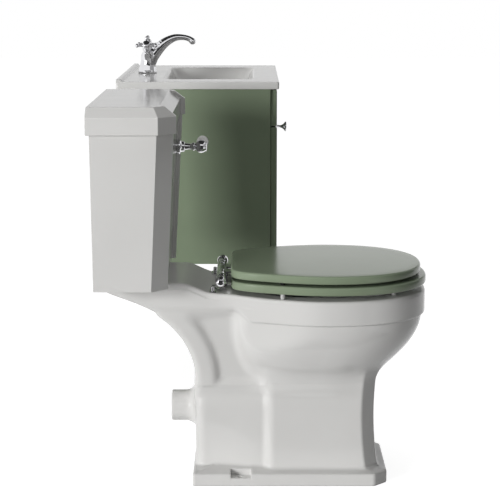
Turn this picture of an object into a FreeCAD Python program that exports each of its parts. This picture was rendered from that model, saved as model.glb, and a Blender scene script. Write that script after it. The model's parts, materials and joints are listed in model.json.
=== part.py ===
import FreeCAD
import Part
import Sketcher
import math
import os
import re
from types import SimpleNamespace

# Close-coupled toilet and wall-hung basin vanity that stand side by side on one wall.
# Each unit is drawn in its own frame: x across from its middle, y out from the wall (front is
# negative), z up from the floor. The whole pair is then centred on the middle of its own footprint.

# Driving dimensions, in millimetres and degrees
SIZES = {
    # Layout
    "unit_gap": 223,
    "slide_gap": 0.3,
    "running_gap": 0.05,
    "screw_gap": 0.3,
    # Pan
    "rim_top": 413,
    "rim_band": 52,
    "rim_step": 8,
    "rim_width": 360,
    "rim_front": 698,
    "rim_back": 262,
    "bowl_widest": 480,
    "opening_width": 256,
    "opening_lip": 53,
    "opening_back": 335,
    "opening_depth": 40,
    "bowl_floor": 185,
    "bowl_floor_width": 76,
    "bowl_floor_back": 388,
    "bowl_floor_front": 458,
    "bowl_wall": 13,
    "foot_width": 235,
    "foot_front": 613,
    "foot_back": 204,
    "foot_height": 28,
    "foot_bevel": 10,
    "foot_chamfer": 25,
    "pedestal_width": 196,
    "pedestal_front": 588,
    "pedestal_back": 207,
    "pedestal_step": 357,
    "pedestal_top": 236,
    "pedestal_rear_top": 190,
    "pedestal_chamfer": 28,
    "pedestal_wall": 13,
    "bowl_lap": 18,
    "bowl_seam": 3,
    "bowl_back_inset": 28,
    "block_lap": 40,
    "web_width": 92,
    "web_lap": 60,
    "shelf_lap": 38,
    "deck_width": 236,
    "deck_rise": 26,
    "deck_thickness": 54,
    "deck_back": 20,
    "deck_front": 178,
    "deck_slope": 58,
    "spigot_diameter": 67,
    "spigot_end": 153,
    "spigot_height": 144,
    "trap_bore": 50,
    "weir_rise": 68,
    "trap_leg": 53,
    "trap_bend": 30,
    "inlet_setback": 85,
    "inlet_bore": 44,
    "inlet_seat": 68,
    "inlet_seat_depth": 26,
    "flush_way": 26,
    "coupling_spacing": 150,
    "coupling_hole": 11,
    "coupling_pocket": 36,
    "coupling_land": 30,
    "hinge_spacing": 155,
    "hinge_hole": 8,
    "hinge_pocket": 34,
    "hinge_land": 28,
    "floor_hole": 8,
    "floor_hole_spacing": 214,
    "floor_hole_setback": 304,
    "floor_notch": 44,
    "floor_notch_seat": 19,
    # Cistern tank
    "tank_height": 321,
    "tank_top_width": 466,
    "tank_base_width": 411,
    "tank_top_depth": 172,
    "tank_base_depth": 156,
    "tank_back_gap": 7,
    "tank_chamfer": 32,
    "tank_pilaster": 11,
    "tank_recess": 8,
    "tank_return": 4,
    "tank_wall": 11,
    "tank_floor": 14,
    "wall_hole": 8,
    "wall_hole_spacing": 300,
    "wall_hole_drop": 60,
    # Cistern lid
    "lid_width": 484,
    "lid_depth": 178,
    "lid_band": 35,
    "lid_wall": 12,
    "lid_bevel_height": 18,
    "lid_bevel_inset": 24,
    "lid_chamfer": 34.5,
    "lid_pilaster": 11,
    "lid_recess": 10,
    # Flush lever
    "lever_offset": 120,
    "lever_drop": 64,
    "lever_reach": 229,
    "lever_hub": 30,
    "lever_hub_setback": 13,
    "lever_cap": 16,
    "lever_rose": 34,
    "lever_rose_reach": 180,
    "lever_neck": 15,
    "lever_bush": 20,
    "lever_bush_length": 56,
    "lever_spindle": 12,
    "lever_arm": 8,
    "lever_arm_length": 95,
    "lever_knob": 28,
    "lever_knob_tip": 12,
    "lever_knob_length": 42,
    "lever_knob_start": 69,
    "lever_nut": 30,
    "lever_nut_thickness": 8,
    "lift_arm_length": 44,
    "lift_arm_width": 12,
    "lift_arm_eye": 22,
    "lift_pin": 8,
    # Flush siphon
    "siphon_tail": 42,
    "siphon_bore": 34,
    "siphon_tail_length": 46,
    "siphon_flange": 66,
    "siphon_flange_thickness": 6,
    "siphon_spacing": 64,
    "siphon_rise": 170,
    "siphon_tube": 44,
    "siphon_tube_wall": 4,
    "siphon_chamber": 76,
    "siphon_chamber_height": 90,
    "siphon_stand": 8,
    "siphon_nut": 60,
    "siphon_nut_thickness": 12,
    "siphon_plate_thickness": 4,
    "lift_rod": 6,
    "lift_tab_thickness": 4,
    "lift_tab_length": 36,
    "lift_play": 1.2,
    # Fill valve and float
    "valve_offset": 175,
    "valve_setback": 60,
    "valve_tail": 20,
    "valve_tail_length": 40,
    "valve_end": 19,
    "valve_column": 24,
    "valve_height": 195,
    "valve_flange": 34,
    "valve_nut": 32,
    "valve_nut_thickness": 9,
    "valve_pivot": 6,
    "valve_pivot_length": 9,
    "float_arm_length": 62,
    "float_arm_height": 6,
    "float_arm_width": 6,
    "float_diameter": 44,
    "float_height": 40,
    # Coupling
    "coupling_bolt": 8,
    "coupling_head": 18,
    "coupling_head_height": 6,
    "coupling_nut": 24,
    "coupling_nut_height": 10,
    "coupling_tail": 8,
    # Seat
    "seat_width": 368,
    "seat_overhang": 1,
    "seat_back": 283,
    "seat_taper": 60,
    "seat_widest": 485,
    "ring_thickness": 18,
    "ring_hole_width": 236,
    "ring_hole_back": 350,
    "ring_lip": 64,
    "lid_plate_thickness": 18,
    "lid_setback": 12,
    "ring_buffer_height": 12,
    "lid_buffer_height": 6,
    "buffer_diameter": 10,
    "rear_buffer_setback": 391,
    "rear_buffer_spacing": 304,
    "front_buffer_setback": 623,
    "front_buffer_spacing": 216,
    # Seat hinge
    "hinge_setback": 262.5,
    "hinge_post_offset": 16.5,
    "hinge_rise": 30,
    "hinge_rod": 14,
    "hinge_rod_length": 214,
    "hinge_finial": 24,
    "pillar_width": 14,
    "pillar_post": 10,
    "pillar_head": 12,
    "pillar_base": 14,
    "pillar_base_height": 3,
    "pillar_eye": 22,
    "hinge_stud": 6,
    "hinge_stud_length": 52,
    "hinge_nut": 22,
    "hinge_nut_height": 10,
    "bracket_width": 14,
    "bracket_eye": 21,
    "bracket_strap": 3,
    "bracket_reach": 50,
    "ring_bracket_spacing": 100,
    "lid_bracket_spacing": 50,
    # Basin
    "basin_width": 600,
    "basin_depth": 393,
    "basin_top": 811,
    "basin_slab": 17,
    "basin_ridge_depth": 12,
    "basin_ridge_height": 9,
    "bowl_length": 420,
    "bowl_breadth": 220,
    "bowl_setback": 110,
    "bowl_depth": 110,
    "bowl_end_slope": 60,
    "bowl_side_slope": 28,
    "bowl_corner": 34,
    "basin_wall": 11,
    "tap_hole": 35,
    "tap_setback": 57,
    "waste_hole": 46,
    # Cabinet
    "cabinet_inset": 4,
    "cabinet_height": 430,
    "cabinet_depth": 372,
    "panel": 16,
    "front_panel": 16,
    "fascia_height": 88,
    "front_gap": 3,
    "back_rail_height": 80,
    "front_rail_height": 56,
    "hanger_width": 46,
    "hanger_depth": 30,
    "hanger_height": 60,
    "hanger_drop": 10,
    "hanger_hole": 8,
    # Drawer
    "drawer_side": 12,
    "drawer_side_height": 138,
    "drawer_length": 312,
    "drawer_lift": 28,
    "drawer_floor": 8,
    "drawer_floor_rise": 6,
    "runner_width": 6,
    "runner_height": 36,
    "runner_length": 300,
    "runner_rise": 44,
    "knob_drop": 28,
    "knob_reach": 30,
    "knob_base": 19,
    "knob_waist": 7,
    "knob_face": 26,
    "knob_lip": 4,
    "knob_screw": 4,
    "knob_screw_head": 9,
    "knob_screw_head_height": 3,
    "knob_screw_bite": 9,
    # Basin waste and trap
    "waste_flange": 64,
    "waste_flange_thickness": 3,
    "waste_tail": 40,
    "waste_tail_length": 62,
    "waste_bore": 32,
    "waste_bridge": 6,
    "waste_guide": 12,
    "waste_guide_drop": 28,
    "waste_guide_height": 14,
    "plug_diameter": 58,
    "plug_thickness": 4,
    "plug_stem": 7,
    "plug_stem_length": 34,
    "waste_nut": 58,
    "waste_nut_thickness": 10,
    "trap_collar": 52,
    "trap_collar_height": 22,
    "trap_collar_lap": 14,
    "trap_cup": 62,
    "trap_cup_height": 76,
    "trap_cup_wall": 3,
    "trap_pipe": 32,
    "trap_pipe_bore": 27,
    "trap_union": 44,
    "trap_union_length": 14,
    "trap_outlet_drop": 26,
    # Basin tap
    "tap_base": 49,
    "tap_base_height": 6,
    "tap_waist": 30,
    "tap_waist_height": 28,
    "tap_shoulder": 38,
    "tap_shoulder_height": 52,
    "tap_crown": 26,
    "tap_crown_height": 60,
    "tap_spout": 20,
    "tap_spout_rise": 101,
    "tap_spout_reach": 121,
    "tap_spout_drop": 16,
    "tap_valve": 18,
    "tap_valve_start": 12,
    "tap_valve_end": 40,
    "tap_valve_tilt": 40,
    "tap_valve_height": 40,
    "tap_stem": 8,
    "tap_stem_length": 13,
    "handle_hub": 17,
    "handle_hub_length": 19,
    "handle_cap": 3,
    "handle_spoke": 6,
    "handle_span": 48,
    "handle_tip": 10,
    "tap_stud": 8,
    "tap_stud_length": 48,
    "tap_stud_bite": 10,
    "tap_nut": 44,
    "tap_nut_thickness": 8,
}

doc = FreeCAD.newDocument("toilet_and_vanity")
sheet = doc.addObject("Spreadsheet::Sheet", "Sizes")
for row, (alias, value) in enumerate(SIZES.items(), start=1):
    sheet.set(f"A{row}", alias)
    sheet.set(f"B{row}", str(value))
    sheet.setAlias(f"B{row}", alias)
doc.recompute()
s = SimpleNamespace(**{alias: sheet.get(alias) for alias in SIZES})

# Levels and places that several pieces share, written in terms of the driving dimensions
PAIR_Y = "(rim_front + seat_overhang) / 2"
TOILET = ("-(unit_gap + basin_width) / 2", PAIR_Y)
VANITY = ("(lid_width + unit_gap) / 2", PAIR_Y)
DECK = "(rim_top + deck_rise)"
TANK_FLOOR = f"({DECK} + tank_floor)"
TANK_TOP = f"({DECK} + tank_height)"
LEVER_Z = f"({TANK_TOP} - lever_drop)"
HUB_Y = "-(lever_reach - lever_hub_setback)"
INLET_Y = "-inlet_setback"
HINGE_Y = "-hinge_setback"
HINGE_Z = "(rim_top + hinge_rise)"
POST_Y = "-(hinge_setback - hinge_post_offset)"
RING_BASE = "(rim_top + ring_buffer_height)"
LID_BASE = f"({RING_BASE} + ring_thickness + lid_buffer_height)"
CABINET_TOP = "(basin_top - basin_slab)"
CABINET_BASE = f"({CABINET_TOP} - cabinet_height)"
CABINET_HALF = "(basin_width / 2 - cabinet_inset)"
FRONT_SPLIT = f"({CABINET_TOP} - front_gap - fascia_height)"
DRAWER_BASE = f"({CABINET_BASE} + drawer_lift)"
RUNNER_SPACE = "(2 * runner_width + slide_gap)"
DRAWER_HALF = f"({CABINET_HALF} - panel - {RUNNER_SPACE})"
KNOB_Z = f"({FRONT_SPLIT} - front_gap - knob_drop)"
BOWL_FLOOR = "(basin_top - bowl_depth)"
BOWL_MID = "-(bowl_setback + bowl_breadth / 2)"
WASTE_END = f"({BOWL_FLOOR} - waste_tail_length)"
TAP_Y = "-tap_setback"
VALVE_Z = "(basin_top + tap_valve_height)"

parts = []


def vector(x, y, z):
    return FreeCAD.Vector(x, y, z)


# Objects driven by the sheet


def formula(text):
    """Turn a size expression into one that reads the sheet."""
    return re.sub(r"[a-z]\w*", lambda word: sheet_word(word.group(0)), text)


def sheet_word(word):
    return f"Sizes.{word}" if word in SIZES else word


def bind(item, **values):
    for name, text in values.items():
        item.setExpression(name, formula(text))
    return item


def seat(item, x="0", y="0", z="0"):
    """Put an item's own origin at a place in its unit's frame."""
    for name, text in zip("xyz", (x, y, z)):
        item.setExpression(f"Placement.Base.{name}", formula(text))
    return item


def keep(item, label, frame, x="0", y="0", z="0"):
    """Name a finished sub-part and move it from its unit's frame to the pair's frame."""
    item.Label = label
    parts.append(item)
    return seat(item, f"{frame[0]} + {x}", f"{frame[1]} + {y}", z)


AXES = {"X": vector(1, 0, 0), "Y": vector(0, 1, 0), "-Y": vector(0, -1, 0), "Z": vector(0, 0, 1)}


def point_along(item, axis):
    """Turn an item that was drawn along z so that it runs along another axis."""
    item.Placement.Rotation = FreeCAD.Rotation(AXES["Z"], AXES[axis])
    return item


def box(name, size, low=("0", "0", "0")):
    item = doc.addObject("Part::Box", name)
    bind(item, Length=size[0], Width=size[1], Height=size[2])
    return seat(item, *low)


def cylinder(name, diameter, length, foot=("0", "0", "0"), axis="Z"):
    item = doc.addObject("Part::Cylinder", name)
    bind(item, Radius=f"({diameter}) / 2", Height=length)
    return seat(point_along(item, axis), *foot)


def sphere(name, diameter, centre):
    item = doc.addObject("Part::Sphere", name)
    bind(item, Radius=f"({diameter}) / 2")
    return seat(item, *centre)


def hexagon(name, across, length, foot, axis="Z"):
    item = doc.addObject("Part::Prism", name)
    item.Polygon = 6
    bind(item, Circumradius=f"({across}) / 2", Height=length)
    return seat(point_along(item, axis), *foot)


def fuse(name, items):
    item = doc.addObject("Part::MultiFuse", name)
    item.Shapes = items
    return item


def cut(name, base, tools):
    item = doc.addObject("Part::Cut", name)
    item.Base = base
    item.Tool = tools[0] if len(tools) == 1 else fuse(f"{name}_tools", tools)
    return item


def both_sides(name, item):
    """The item and its mirror image on the other side of the unit's middle plane."""
    mirror = doc.addObject("Part::Mirroring", f"{name}_other")
    mirror.Source = item
    mirror.Normal = AXES["X"]
    group = doc.addObject("Part::Compound", name)
    group.Links = [item, mirror]
    return group


def draw_outline(sketch, corners):
    """A closed outline of straight sides whose corners are bound to the sheet."""
    count = len(corners)
    for index in range(count):
        start = vector(index, index * index, 0)
        after = (index + 1) % count
        sketch.addGeometry(Part.LineSegment(start, vector(after, after * after, 0)), False)
    for index in range(count):
        sketch.addConstraint(Sketcher.Constraint("Coincident", index, 2, (index + 1) % count, 1))
    for index, corner in enumerate(corners):
        for kind, text in zip(("DistanceX", "DistanceY"), corner):
            number = sketch.addConstraint(Sketcher.Constraint(kind, -1, 1, index, 1, 1.0))
            sketch.setExpression(f"Constraints[{number}]", formula(text))
    return sketch


def body_sketch(name, plane, corners):
    body = doc.addObject("PartDesign::Body", name)
    planes = {feature.Role: feature for feature in body.Origin.OriginFeatures}
    sketch = body.newObject("Sketcher::SketchObject", f"{name}_outline")
    sketch.AttachmentSupport = (planes[plane], "")
    sketch.MapMode = "FlatFace"
    draw_outline(sketch, corners)
    return body, sketch


def turned(name, profile, axis="Z"):
    """A piece turned about its own z axis from a profile of radius and height pairs."""
    body, sketch = body_sketch(name, "XZ_Plane", profile)
    lathe = body.newObject("PartDesign::Revolution", f"{name}_turning")
    lathe.Profile = sketch
    lathe.ReferenceAxis = (sketch, ["V_Axis"])
    lathe.Angle = 360
    return point_along(body, axis)


def padded(name, plane, corners, length):
    """A flat piece padded to both sides of a plane."""
    body, sketch = body_sketch(name, plane, corners)
    pad = body.newObject("PartDesign::Pad", f"{name}_pad")
    pad.Profile = sketch
    pad.Midplane = True
    bind(pad, Length=length)
    return body


def level_outline(name, corners, level):
    sketch = doc.addObject("Sketcher::SketchObject", name)
    draw_outline(sketch, corners)
    sketch.setExpression("Placement.Base.z", formula(level))
    return sketch


def ruled_loft(name, low, high):
    item = doc.addObject("Part::Loft", name)
    item.Sections = [low, high]
    item.Solid = True
    item.Ruled = True
    return item


# Curved ceramic and timber shapes

# How far a cutting shape stands clear of the face it cuts
PROUD = 1


def egg_wire(width, back, front, widest, level):
    """Closed oval, squarer at the wall end, through points of a superellipse."""
    point_count = 40
    round_power = 2.25
    square_power = 2.9
    points = []
    for index in range(point_count):
        angle = 2 * math.pi * index / point_count
        across = math.cos(angle)
        along = math.sin(angle)
        power = round_power if along > 0 else square_power
        reach = front - widest if along > 0 else widest - back
        x = math.copysign(abs(across) ** (2 / power), across) * width / 2
        y = math.copysign(abs(along) ** (2 / power), along) * reach + widest
        points.append(vector(x, -y, level))
    curve = Part.BSplineCurve()
    curve.interpolate(Points=points, PeriodicFlag=True)
    return Part.Wire(curve.toShape())


def slab(wire, thickness):
    return Part.Face(wire).extrude(vector(0, 0, thickness))


def block(width, corners):
    """A solid of one width across x from a side view of y and z corners."""
    points = [vector(-width / 2, y, z) for y, z in corners]
    return Part.Face(Part.makePolygon(points + points[:1])).extrude(vector(width, 0, 0))


def bar(start, end, diameter):
    return Part.makeCylinder(diameter / 2, (end - start).Length, start, end - start)


def blend(first, last, share):
    return first + (last - first) * share


def rounded_path(points, radius):
    """Straight runs joined by tangent arcs."""
    edges = []
    here = points[0]
    for before, corner, after in zip(points, points[1:], points[2:]):
        back_way = (before - corner).normalize()
        on_way = (after - corner).normalize()
        half_turn = (math.pi - back_way.getAngle(on_way)) / 2
        setback = radius * math.tan(half_turn)
        middle = (back_way + on_way).normalize()
        bulge = radius / math.cos(half_turn) - radius
        start = corner + back_way * setback
        end = corner + on_way * setback
        edges.append(Part.LineSegment(here, start).toShape())
        edges.append(Part.Arc(start, corner + middle * bulge, end).toShape())
        here = end
    edges.append(Part.LineSegment(here, points[-1]).toShape())
    return Part.Wire(edges)


def tube_along(path, diameter):
    """A round solid swept along a path that lies in a plane across x."""
    start = path.Vertexes[0].Point
    heading = path.Edges[0].tangentAt(path.Edges[0].FirstParameter)
    ring = Part.Wire(Part.makeCircle(diameter / 2, start, heading))
    return path.makePipeShell([ring], True, False)


def foot_plan(width, back, front, chamfer, level):
    half = width / 2
    corners = [(-half, back), (half, back), (half, front - chamfer), (half - chamfer, front)]
    corners += [(chamfer - half, front), (-half, front - chamfer)]
    points = [vector(x, -y, level) for x, y in corners]
    return Part.makePolygon(points + points[:1])


def bowl_sections(grow):
    """Inside of the pan bowl, opened out by a wall thickness."""
    steps = 5
    rim_front = s.rim_front - s.opening_lip
    floor_widest = (s.bowl_floor_back + s.bowl_floor_front) / 2
    top = s.rim_top - s.opening_depth
    sections = [egg_wire(s.opening_width + 2 * grow, s.opening_back - grow, rim_front + grow,
                         s.bowl_widest, s.rim_top + PROUD)]
    for step in range(steps):
        depth = step / (steps - 1)
        share = math.cos(depth * math.pi / 2)
        width = blend(s.bowl_floor_width, s.opening_width, share)
        back = blend(s.bowl_floor_back, s.opening_back, share)
        front = blend(s.bowl_floor_front, rim_front, share)
        widest = blend(floor_widest, s.bowl_widest, share)
        level = blend(top, s.bowl_floor - grow, depth)
        sections.append(egg_wire(width + 2 * grow, back - grow, front + grow, widest, level))
    return sections


def bowl_outside():
    """Outside of the bowl, from inside the pedestal's top up to the rim's underside."""
    steps = 5
    low = s.pedestal_top - s.bowl_lap
    high = s.rim_top - s.rim_band + PROUD
    sections = []
    for step in range(steps):
        height = step / (steps - 1)
        share = math.sin(height * math.pi / 2)
        width = blend(s.pedestal_width - 2 * s.bowl_seam, s.rim_width - 2 * s.rim_step, share)
        back = blend(s.pedestal_step + s.bowl_seam, s.rim_back + s.bowl_back_inset, share)
        front = blend(s.pedestal_front - s.bowl_seam, s.rim_front - s.rim_step, share)
        widest = blend((s.pedestal_step + s.pedestal_front) / 2, s.bowl_widest, share)
        sections.append(egg_wire(width, back, front, widest, blend(low, high, height)))
    return Part.makeLoft(sections, True, False)


def pedestal():
    """Foot slab with its bevel, the front and rear blocks and the sloping ledge above the rear one."""
    half_foot = s.foot_height / 2
    lap_front = s.pedestal_step + s.block_lap
    no_chamfer = PROUD
    front_plan = foot_plan(s.pedestal_width, s.pedestal_step, s.pedestal_front, s.pedestal_chamfer, half_foot)
    rear_plan = foot_plan(s.pedestal_width, s.pedestal_back, lap_front, no_chamfer, half_foot)
    ledge_low = foot_plan(s.pedestal_width, s.pedestal_back, lap_front, no_chamfer,
                          s.pedestal_rear_top - PROUD)
    ledge_high = foot_plan(s.web_width, s.pedestal_back, lap_front, no_chamfer, s.pedestal_top)
    foot_low = foot_plan(s.foot_width, s.foot_back, s.foot_front, s.foot_chamfer, 0)
    bevel_low = foot_plan(s.foot_width, s.foot_back, s.foot_front, s.foot_chamfer, s.foot_height)
    bevel_high = foot_plan(s.pedestal_width, s.foot_back, s.pedestal_front, s.foot_chamfer,
                           s.foot_height + s.foot_bevel)
    return [slab(front_plan, s.pedestal_top - half_foot), slab(rear_plan, s.pedestal_rear_top - half_foot),
            Part.makeLoft([ledge_low, ledge_high], True, True), slab(foot_low, s.foot_height),
            Part.makeLoft([bevel_low, bevel_high], True, True)]


def pan_outside():
    rim_base = s.rim_top - s.rim_band
    deck = s.rim_top + s.deck_rise
    deck_base = deck - s.deck_thickness
    half_foot = s.foot_height / 2
    rim = slab(egg_wire(s.rim_width, s.rim_back, s.rim_front, s.bowl_widest, rim_base), s.rim_band)
    under = []
    under_steps = 10
    for step in range(under_steps + 1):
        angle = step / under_steps * math.pi / 2
        y = -(s.deck_back + (s.pedestal_back - s.deck_back) * math.cos(angle))
        under.append((y, blend(s.pedestal_rear_top, deck_base, math.sin(angle))))
    top = [(-s.deck_back, deck), (-s.deck_front, deck), (-(s.deck_front + s.deck_slope), s.rim_top)]
    web_front = -(s.opening_back + s.web_lap)
    web = block(s.web_width, under + top + [(web_front, s.rim_top), (web_front, half_foot),
                                            (-s.pedestal_back, half_foot)])
    shoulder = [(y, z) for y, z in under if z > rim_base]
    shelf_front = -(s.hinge_setback + s.shelf_lap)
    deck_block = block(s.deck_width, shoulder + top + [(shelf_front, s.rim_top), (shelf_front, rim_base),
                                                       (shoulder[0][0], rim_base)])
    spigot = bar(vector(0, -(s.pedestal_back + s.pedestal_wall), s.spigot_height),
                 vector(0, -s.spigot_end, s.spigot_height), s.spigot_diameter)
    outside = rim
    for piece in [bowl_outside()] + pedestal() + [web, deck_block, spigot]:
        outside = outside.fuse(piece)
    return outside


def trap_path():
    """Middle line of the trapway: up from the bowl's floor, over the weir and down to the spigot."""
    weir = s.bowl_floor + s.weir_rise
    leg = s.pedestal_back + s.trap_leg
    entry_y = (s.bowl_floor_back + s.bowl_floor_front) / 2
    points = [vector(0, -entry_y, s.bowl_floor + s.trap_bore / 2),
              vector(0, -(leg + s.trap_leg), weir), vector(0, -leg - PROUD, weir - s.trap_bore / 2),
              vector(0, -leg, s.spigot_height), vector(0, -s.spigot_end + PROUD, s.spigot_height)]
    return rounded_path(points, s.trap_bend)


def floor_notch(side):
    """Flat seat cut into the foot's edge, with the hole for one floor screw."""
    x = side * s.floor_hole_spacing / 2
    y = -s.floor_hole_setback
    reach = s.foot_width - s.floor_hole_spacing + s.floor_hole
    low = vector(x - reach / 2, y - s.floor_notch / 2, s.floor_notch_seat)
    seat_cut = Part.makeBox(reach, s.floor_notch, s.foot_height, low)
    hole = bar(vector(x, y, -PROUD), vector(x, y, s.floor_notch_seat + PROUD), s.floor_hole)
    return [seat_cut, hole]


def stepped_hole(x, y, top, land, hole, pocket):
    """Bolt hole down from a seat, with a wider pocket for the nut below it."""
    shaft = bar(vector(x, y, land - PROUD), vector(x, y, top + PROUD), hole)
    well = bar(vector(x, y, s.pedestal_top), vector(x, y, land), pocket)
    return [shaft, well]


def pan_underside():
    """Room inside the pedestal, clear of the bowl and of the trapway."""
    wall = s.pedestal_wall
    inner = s.pedestal_width - 2 * wall
    front = s.pedestal_front - wall
    low_plan = foot_plan(inner, s.pedestal_back + wall, front, s.pedestal_chamfer, -PROUD)
    high_plan = foot_plan(inner, s.pedestal_step + wall, front, s.pedestal_chamfer, -PROUD)
    room = slab(low_plan, s.pedestal_rear_top - wall).fuse(slab(high_plan, s.pedestal_top + 2 * wall))
    shell = Part.makeLoft(bowl_sections(s.bowl_wall), True, False)
    skin = s.trap_bore / 2 + s.bowl_wall
    trap_low = s.spigot_height - skin
    corners = [(-s.pedestal_back, trap_low), (-(s.pedestal_back + s.trap_leg + skin), trap_low)]
    corners += [(-(s.opening_back + 2 * skin), s.bowl_floor - 2 * wall)]
    corners += [(-(s.opening_back + 2 * skin), s.rim_top), (-s.pedestal_back, s.rim_top)]
    return room.cut(shell).cut(block(2 * skin, corners))


def pan_hollows():
    """Bowl, trapway, underside and every hole that is cut out of the pan."""
    deck = s.rim_top + s.deck_rise
    inlet_floor = deck - s.inlet_seat_depth
    flush_level = inlet_floor - s.flush_way
    inlet_y = -s.inlet_setback
    bowl_edge = -(s.opening_back + s.bowl_wall)
    hollows = [Part.makeLoft(bowl_sections(0), True, False), tube_along(trap_path(), s.trap_bore)]
    hollows.append(pan_underside())
    hollows.append(bar(vector(0, inlet_y, inlet_floor), vector(0, inlet_y, deck + PROUD), s.inlet_seat))
    hollows.append(bar(vector(0, inlet_y, flush_level), vector(0, inlet_y, deck), s.inlet_bore))
    hollows.append(bar(vector(0, inlet_y, flush_level), vector(0, bowl_edge, flush_level), s.flush_way))
    for side in (-1, 1):
        x = side * s.coupling_spacing / 2
        hollows += stepped_hole(x, inlet_y, deck, deck - s.coupling_land, s.coupling_hole,
                                s.coupling_pocket)
        x = side * s.hinge_spacing / 2
        hollows += stepped_hole(x, s.hinge_post_offset - s.hinge_setback, s.rim_top,
                                s.rim_top - s.hinge_land, s.hinge_hole, s.hinge_pocket)
        hollows += floor_notch(side)
    return hollows


def toilet_pan():
    item = doc.addObject("Part::Feature", "toilet_pan")
    shape = pan_outside()
    for hollow in pan_hollows():
        shape = shape.cut(hollow)
    item.Shape = shape
    keep(item, "toilet_pan", TOILET)


# Cistern

CORNER = "(sqrt(2) - 1)"


def cistern_plan(width, depth, chamfer, pilaster, recess, back):
    """Plan of a cistern with chamfered corner pilasters and a set-back middle."""
    half = f"({width}) / 2"
    shoulder = f"({half} - ({chamfer}))"
    inner = f"({shoulder} - {pilaster})"
    right = [(half, f"-({back})"), (half, f"-({depth} - ({chamfer}))"), (shoulder, f"-({depth})")]
    right += [(inner, f"-({depth})"), (f"({inner} - tank_return)", f"-({depth} - {recess})")]
    left = [(f"-({x})", y) for x, y in reversed(right)]
    return right + left


def tank_room_plan(width, depth):
    """Inside of the tank, one wall in from its plan."""
    half = f"(({width}) / 2)"
    front = f"({depth} - tank_recess - tank_wall)"
    side_end = f"({depth} - tank_chamfer - {CORNER} * tank_wall)"
    front_end = f"({half} - tank_chamfer - {CORNER} * tank_wall + tank_recess)"
    right = [(f"({half} - tank_wall)", "-(tank_back_gap + tank_wall)")]
    right += [(f"({half} - tank_wall)", f"-{side_end}"), (front_end, f"-{front}")]
    left = [(f"-{x}", y) for x, y in reversed(right)]
    return right + left


def tank_shape(name):
    """Outside of the tank, tapering from its lid down to the pan."""
    plans = []
    for end, width, depth, level in (("low", "tank_base_width", "tank_base_depth", DECK),
                                     ("high", "tank_top_width", "tank_top_depth", TANK_TOP)):
        plan = cistern_plan(width, depth, "tank_chamfer", "tank_pilaster", "tank_recess",
                            "tank_back_gap")
        plans.append(level_outline(f"{name}_{end}", plan, level))
    return ruled_loft(name, *plans)


def cistern_tank():
    outside = tank_shape("tank_outside")
    low = level_outline("room_low", tank_room_plan("tank_base_width", "tank_base_depth"), TANK_FLOOR)
    high = level_outline("room_high", tank_room_plan("tank_top_width", "tank_top_depth"),
                         f"{TANK_TOP} + 0.01")
    tools = [ruled_loft("tank_room", low, high)]
    below = f"{DECK} - 1"
    depth = "tank_floor + 2"
    tools.append(cylinder("siphon_hole", "siphon_tail + 2", depth, ("0", INLET_Y, below)))
    tools.append(cylinder("valve_hole", "valve_tail + 1", depth,
                          ("valve_offset", "-valve_setback", below)))
    for side, sign in (("left", "-"), ("right", "")):
        x = f"{sign}coupling_spacing / 2"
        tools.append(cylinder(f"bolt_hole_{side}", "coupling_hole", depth, (x, INLET_Y, below)))
        x = f"{sign}wall_hole_spacing / 2"
        tools.append(cylinder(f"wall_hole_{side}", "wall_hole", "tank_wall + 4",
                              (x, "-(tank_back_gap + tank_wall + 2)", f"{TANK_TOP} - wall_hole_drop"),
                              "Y"))
    tools.append(cylinder("lever_hole", "lever_bush + 1", "tank_top_depth / 2",
                          ("lever_offset", "-tank_top_depth", LEVER_Z), "Y"))
    keep(cut("cistern_tank", outside, tools), "cistern_tank", TOILET)


def cistern_lid():
    band = f"{TANK_TOP} + lid_band"
    plan = cistern_plan("lid_width", "lid_depth", "lid_chamfer", "lid_pilaster", "lid_recess", "0")
    top_chamfer = f"lid_chamfer - (1 - {CORNER}) * lid_bevel_inset"
    top_plan = cistern_plan("lid_width - 2 * lid_bevel_inset", "lid_depth - lid_bevel_inset",
                            top_chamfer, "lid_pilaster", "lid_recess", "0")
    low = level_outline("lid_low", plan, TANK_TOP)
    middle = level_outline("lid_middle", plan, band)
    high = level_outline("lid_high", top_plan, f"{band} + lid_bevel_height")
    bevel_low = level_outline("lid_bevel_low", plan, band)
    outside = fuse("lid_outside", [ruled_loft("lid_side", low, middle),
                                   ruled_loft("lid_bevel", bevel_low, high)])
    room = tank_room_plan("tank_top_width", "tank_top_depth")
    room_low = level_outline("lid_room_low", room, f"{TANK_TOP} - 1")
    room_high = level_outline("lid_room_high", room, f"{band} - lid_wall")
    keep(cut("cistern_lid", outside, [ruled_loft("lid_room", room_low, room_high)]),
         "cistern_lid", TOILET)


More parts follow.
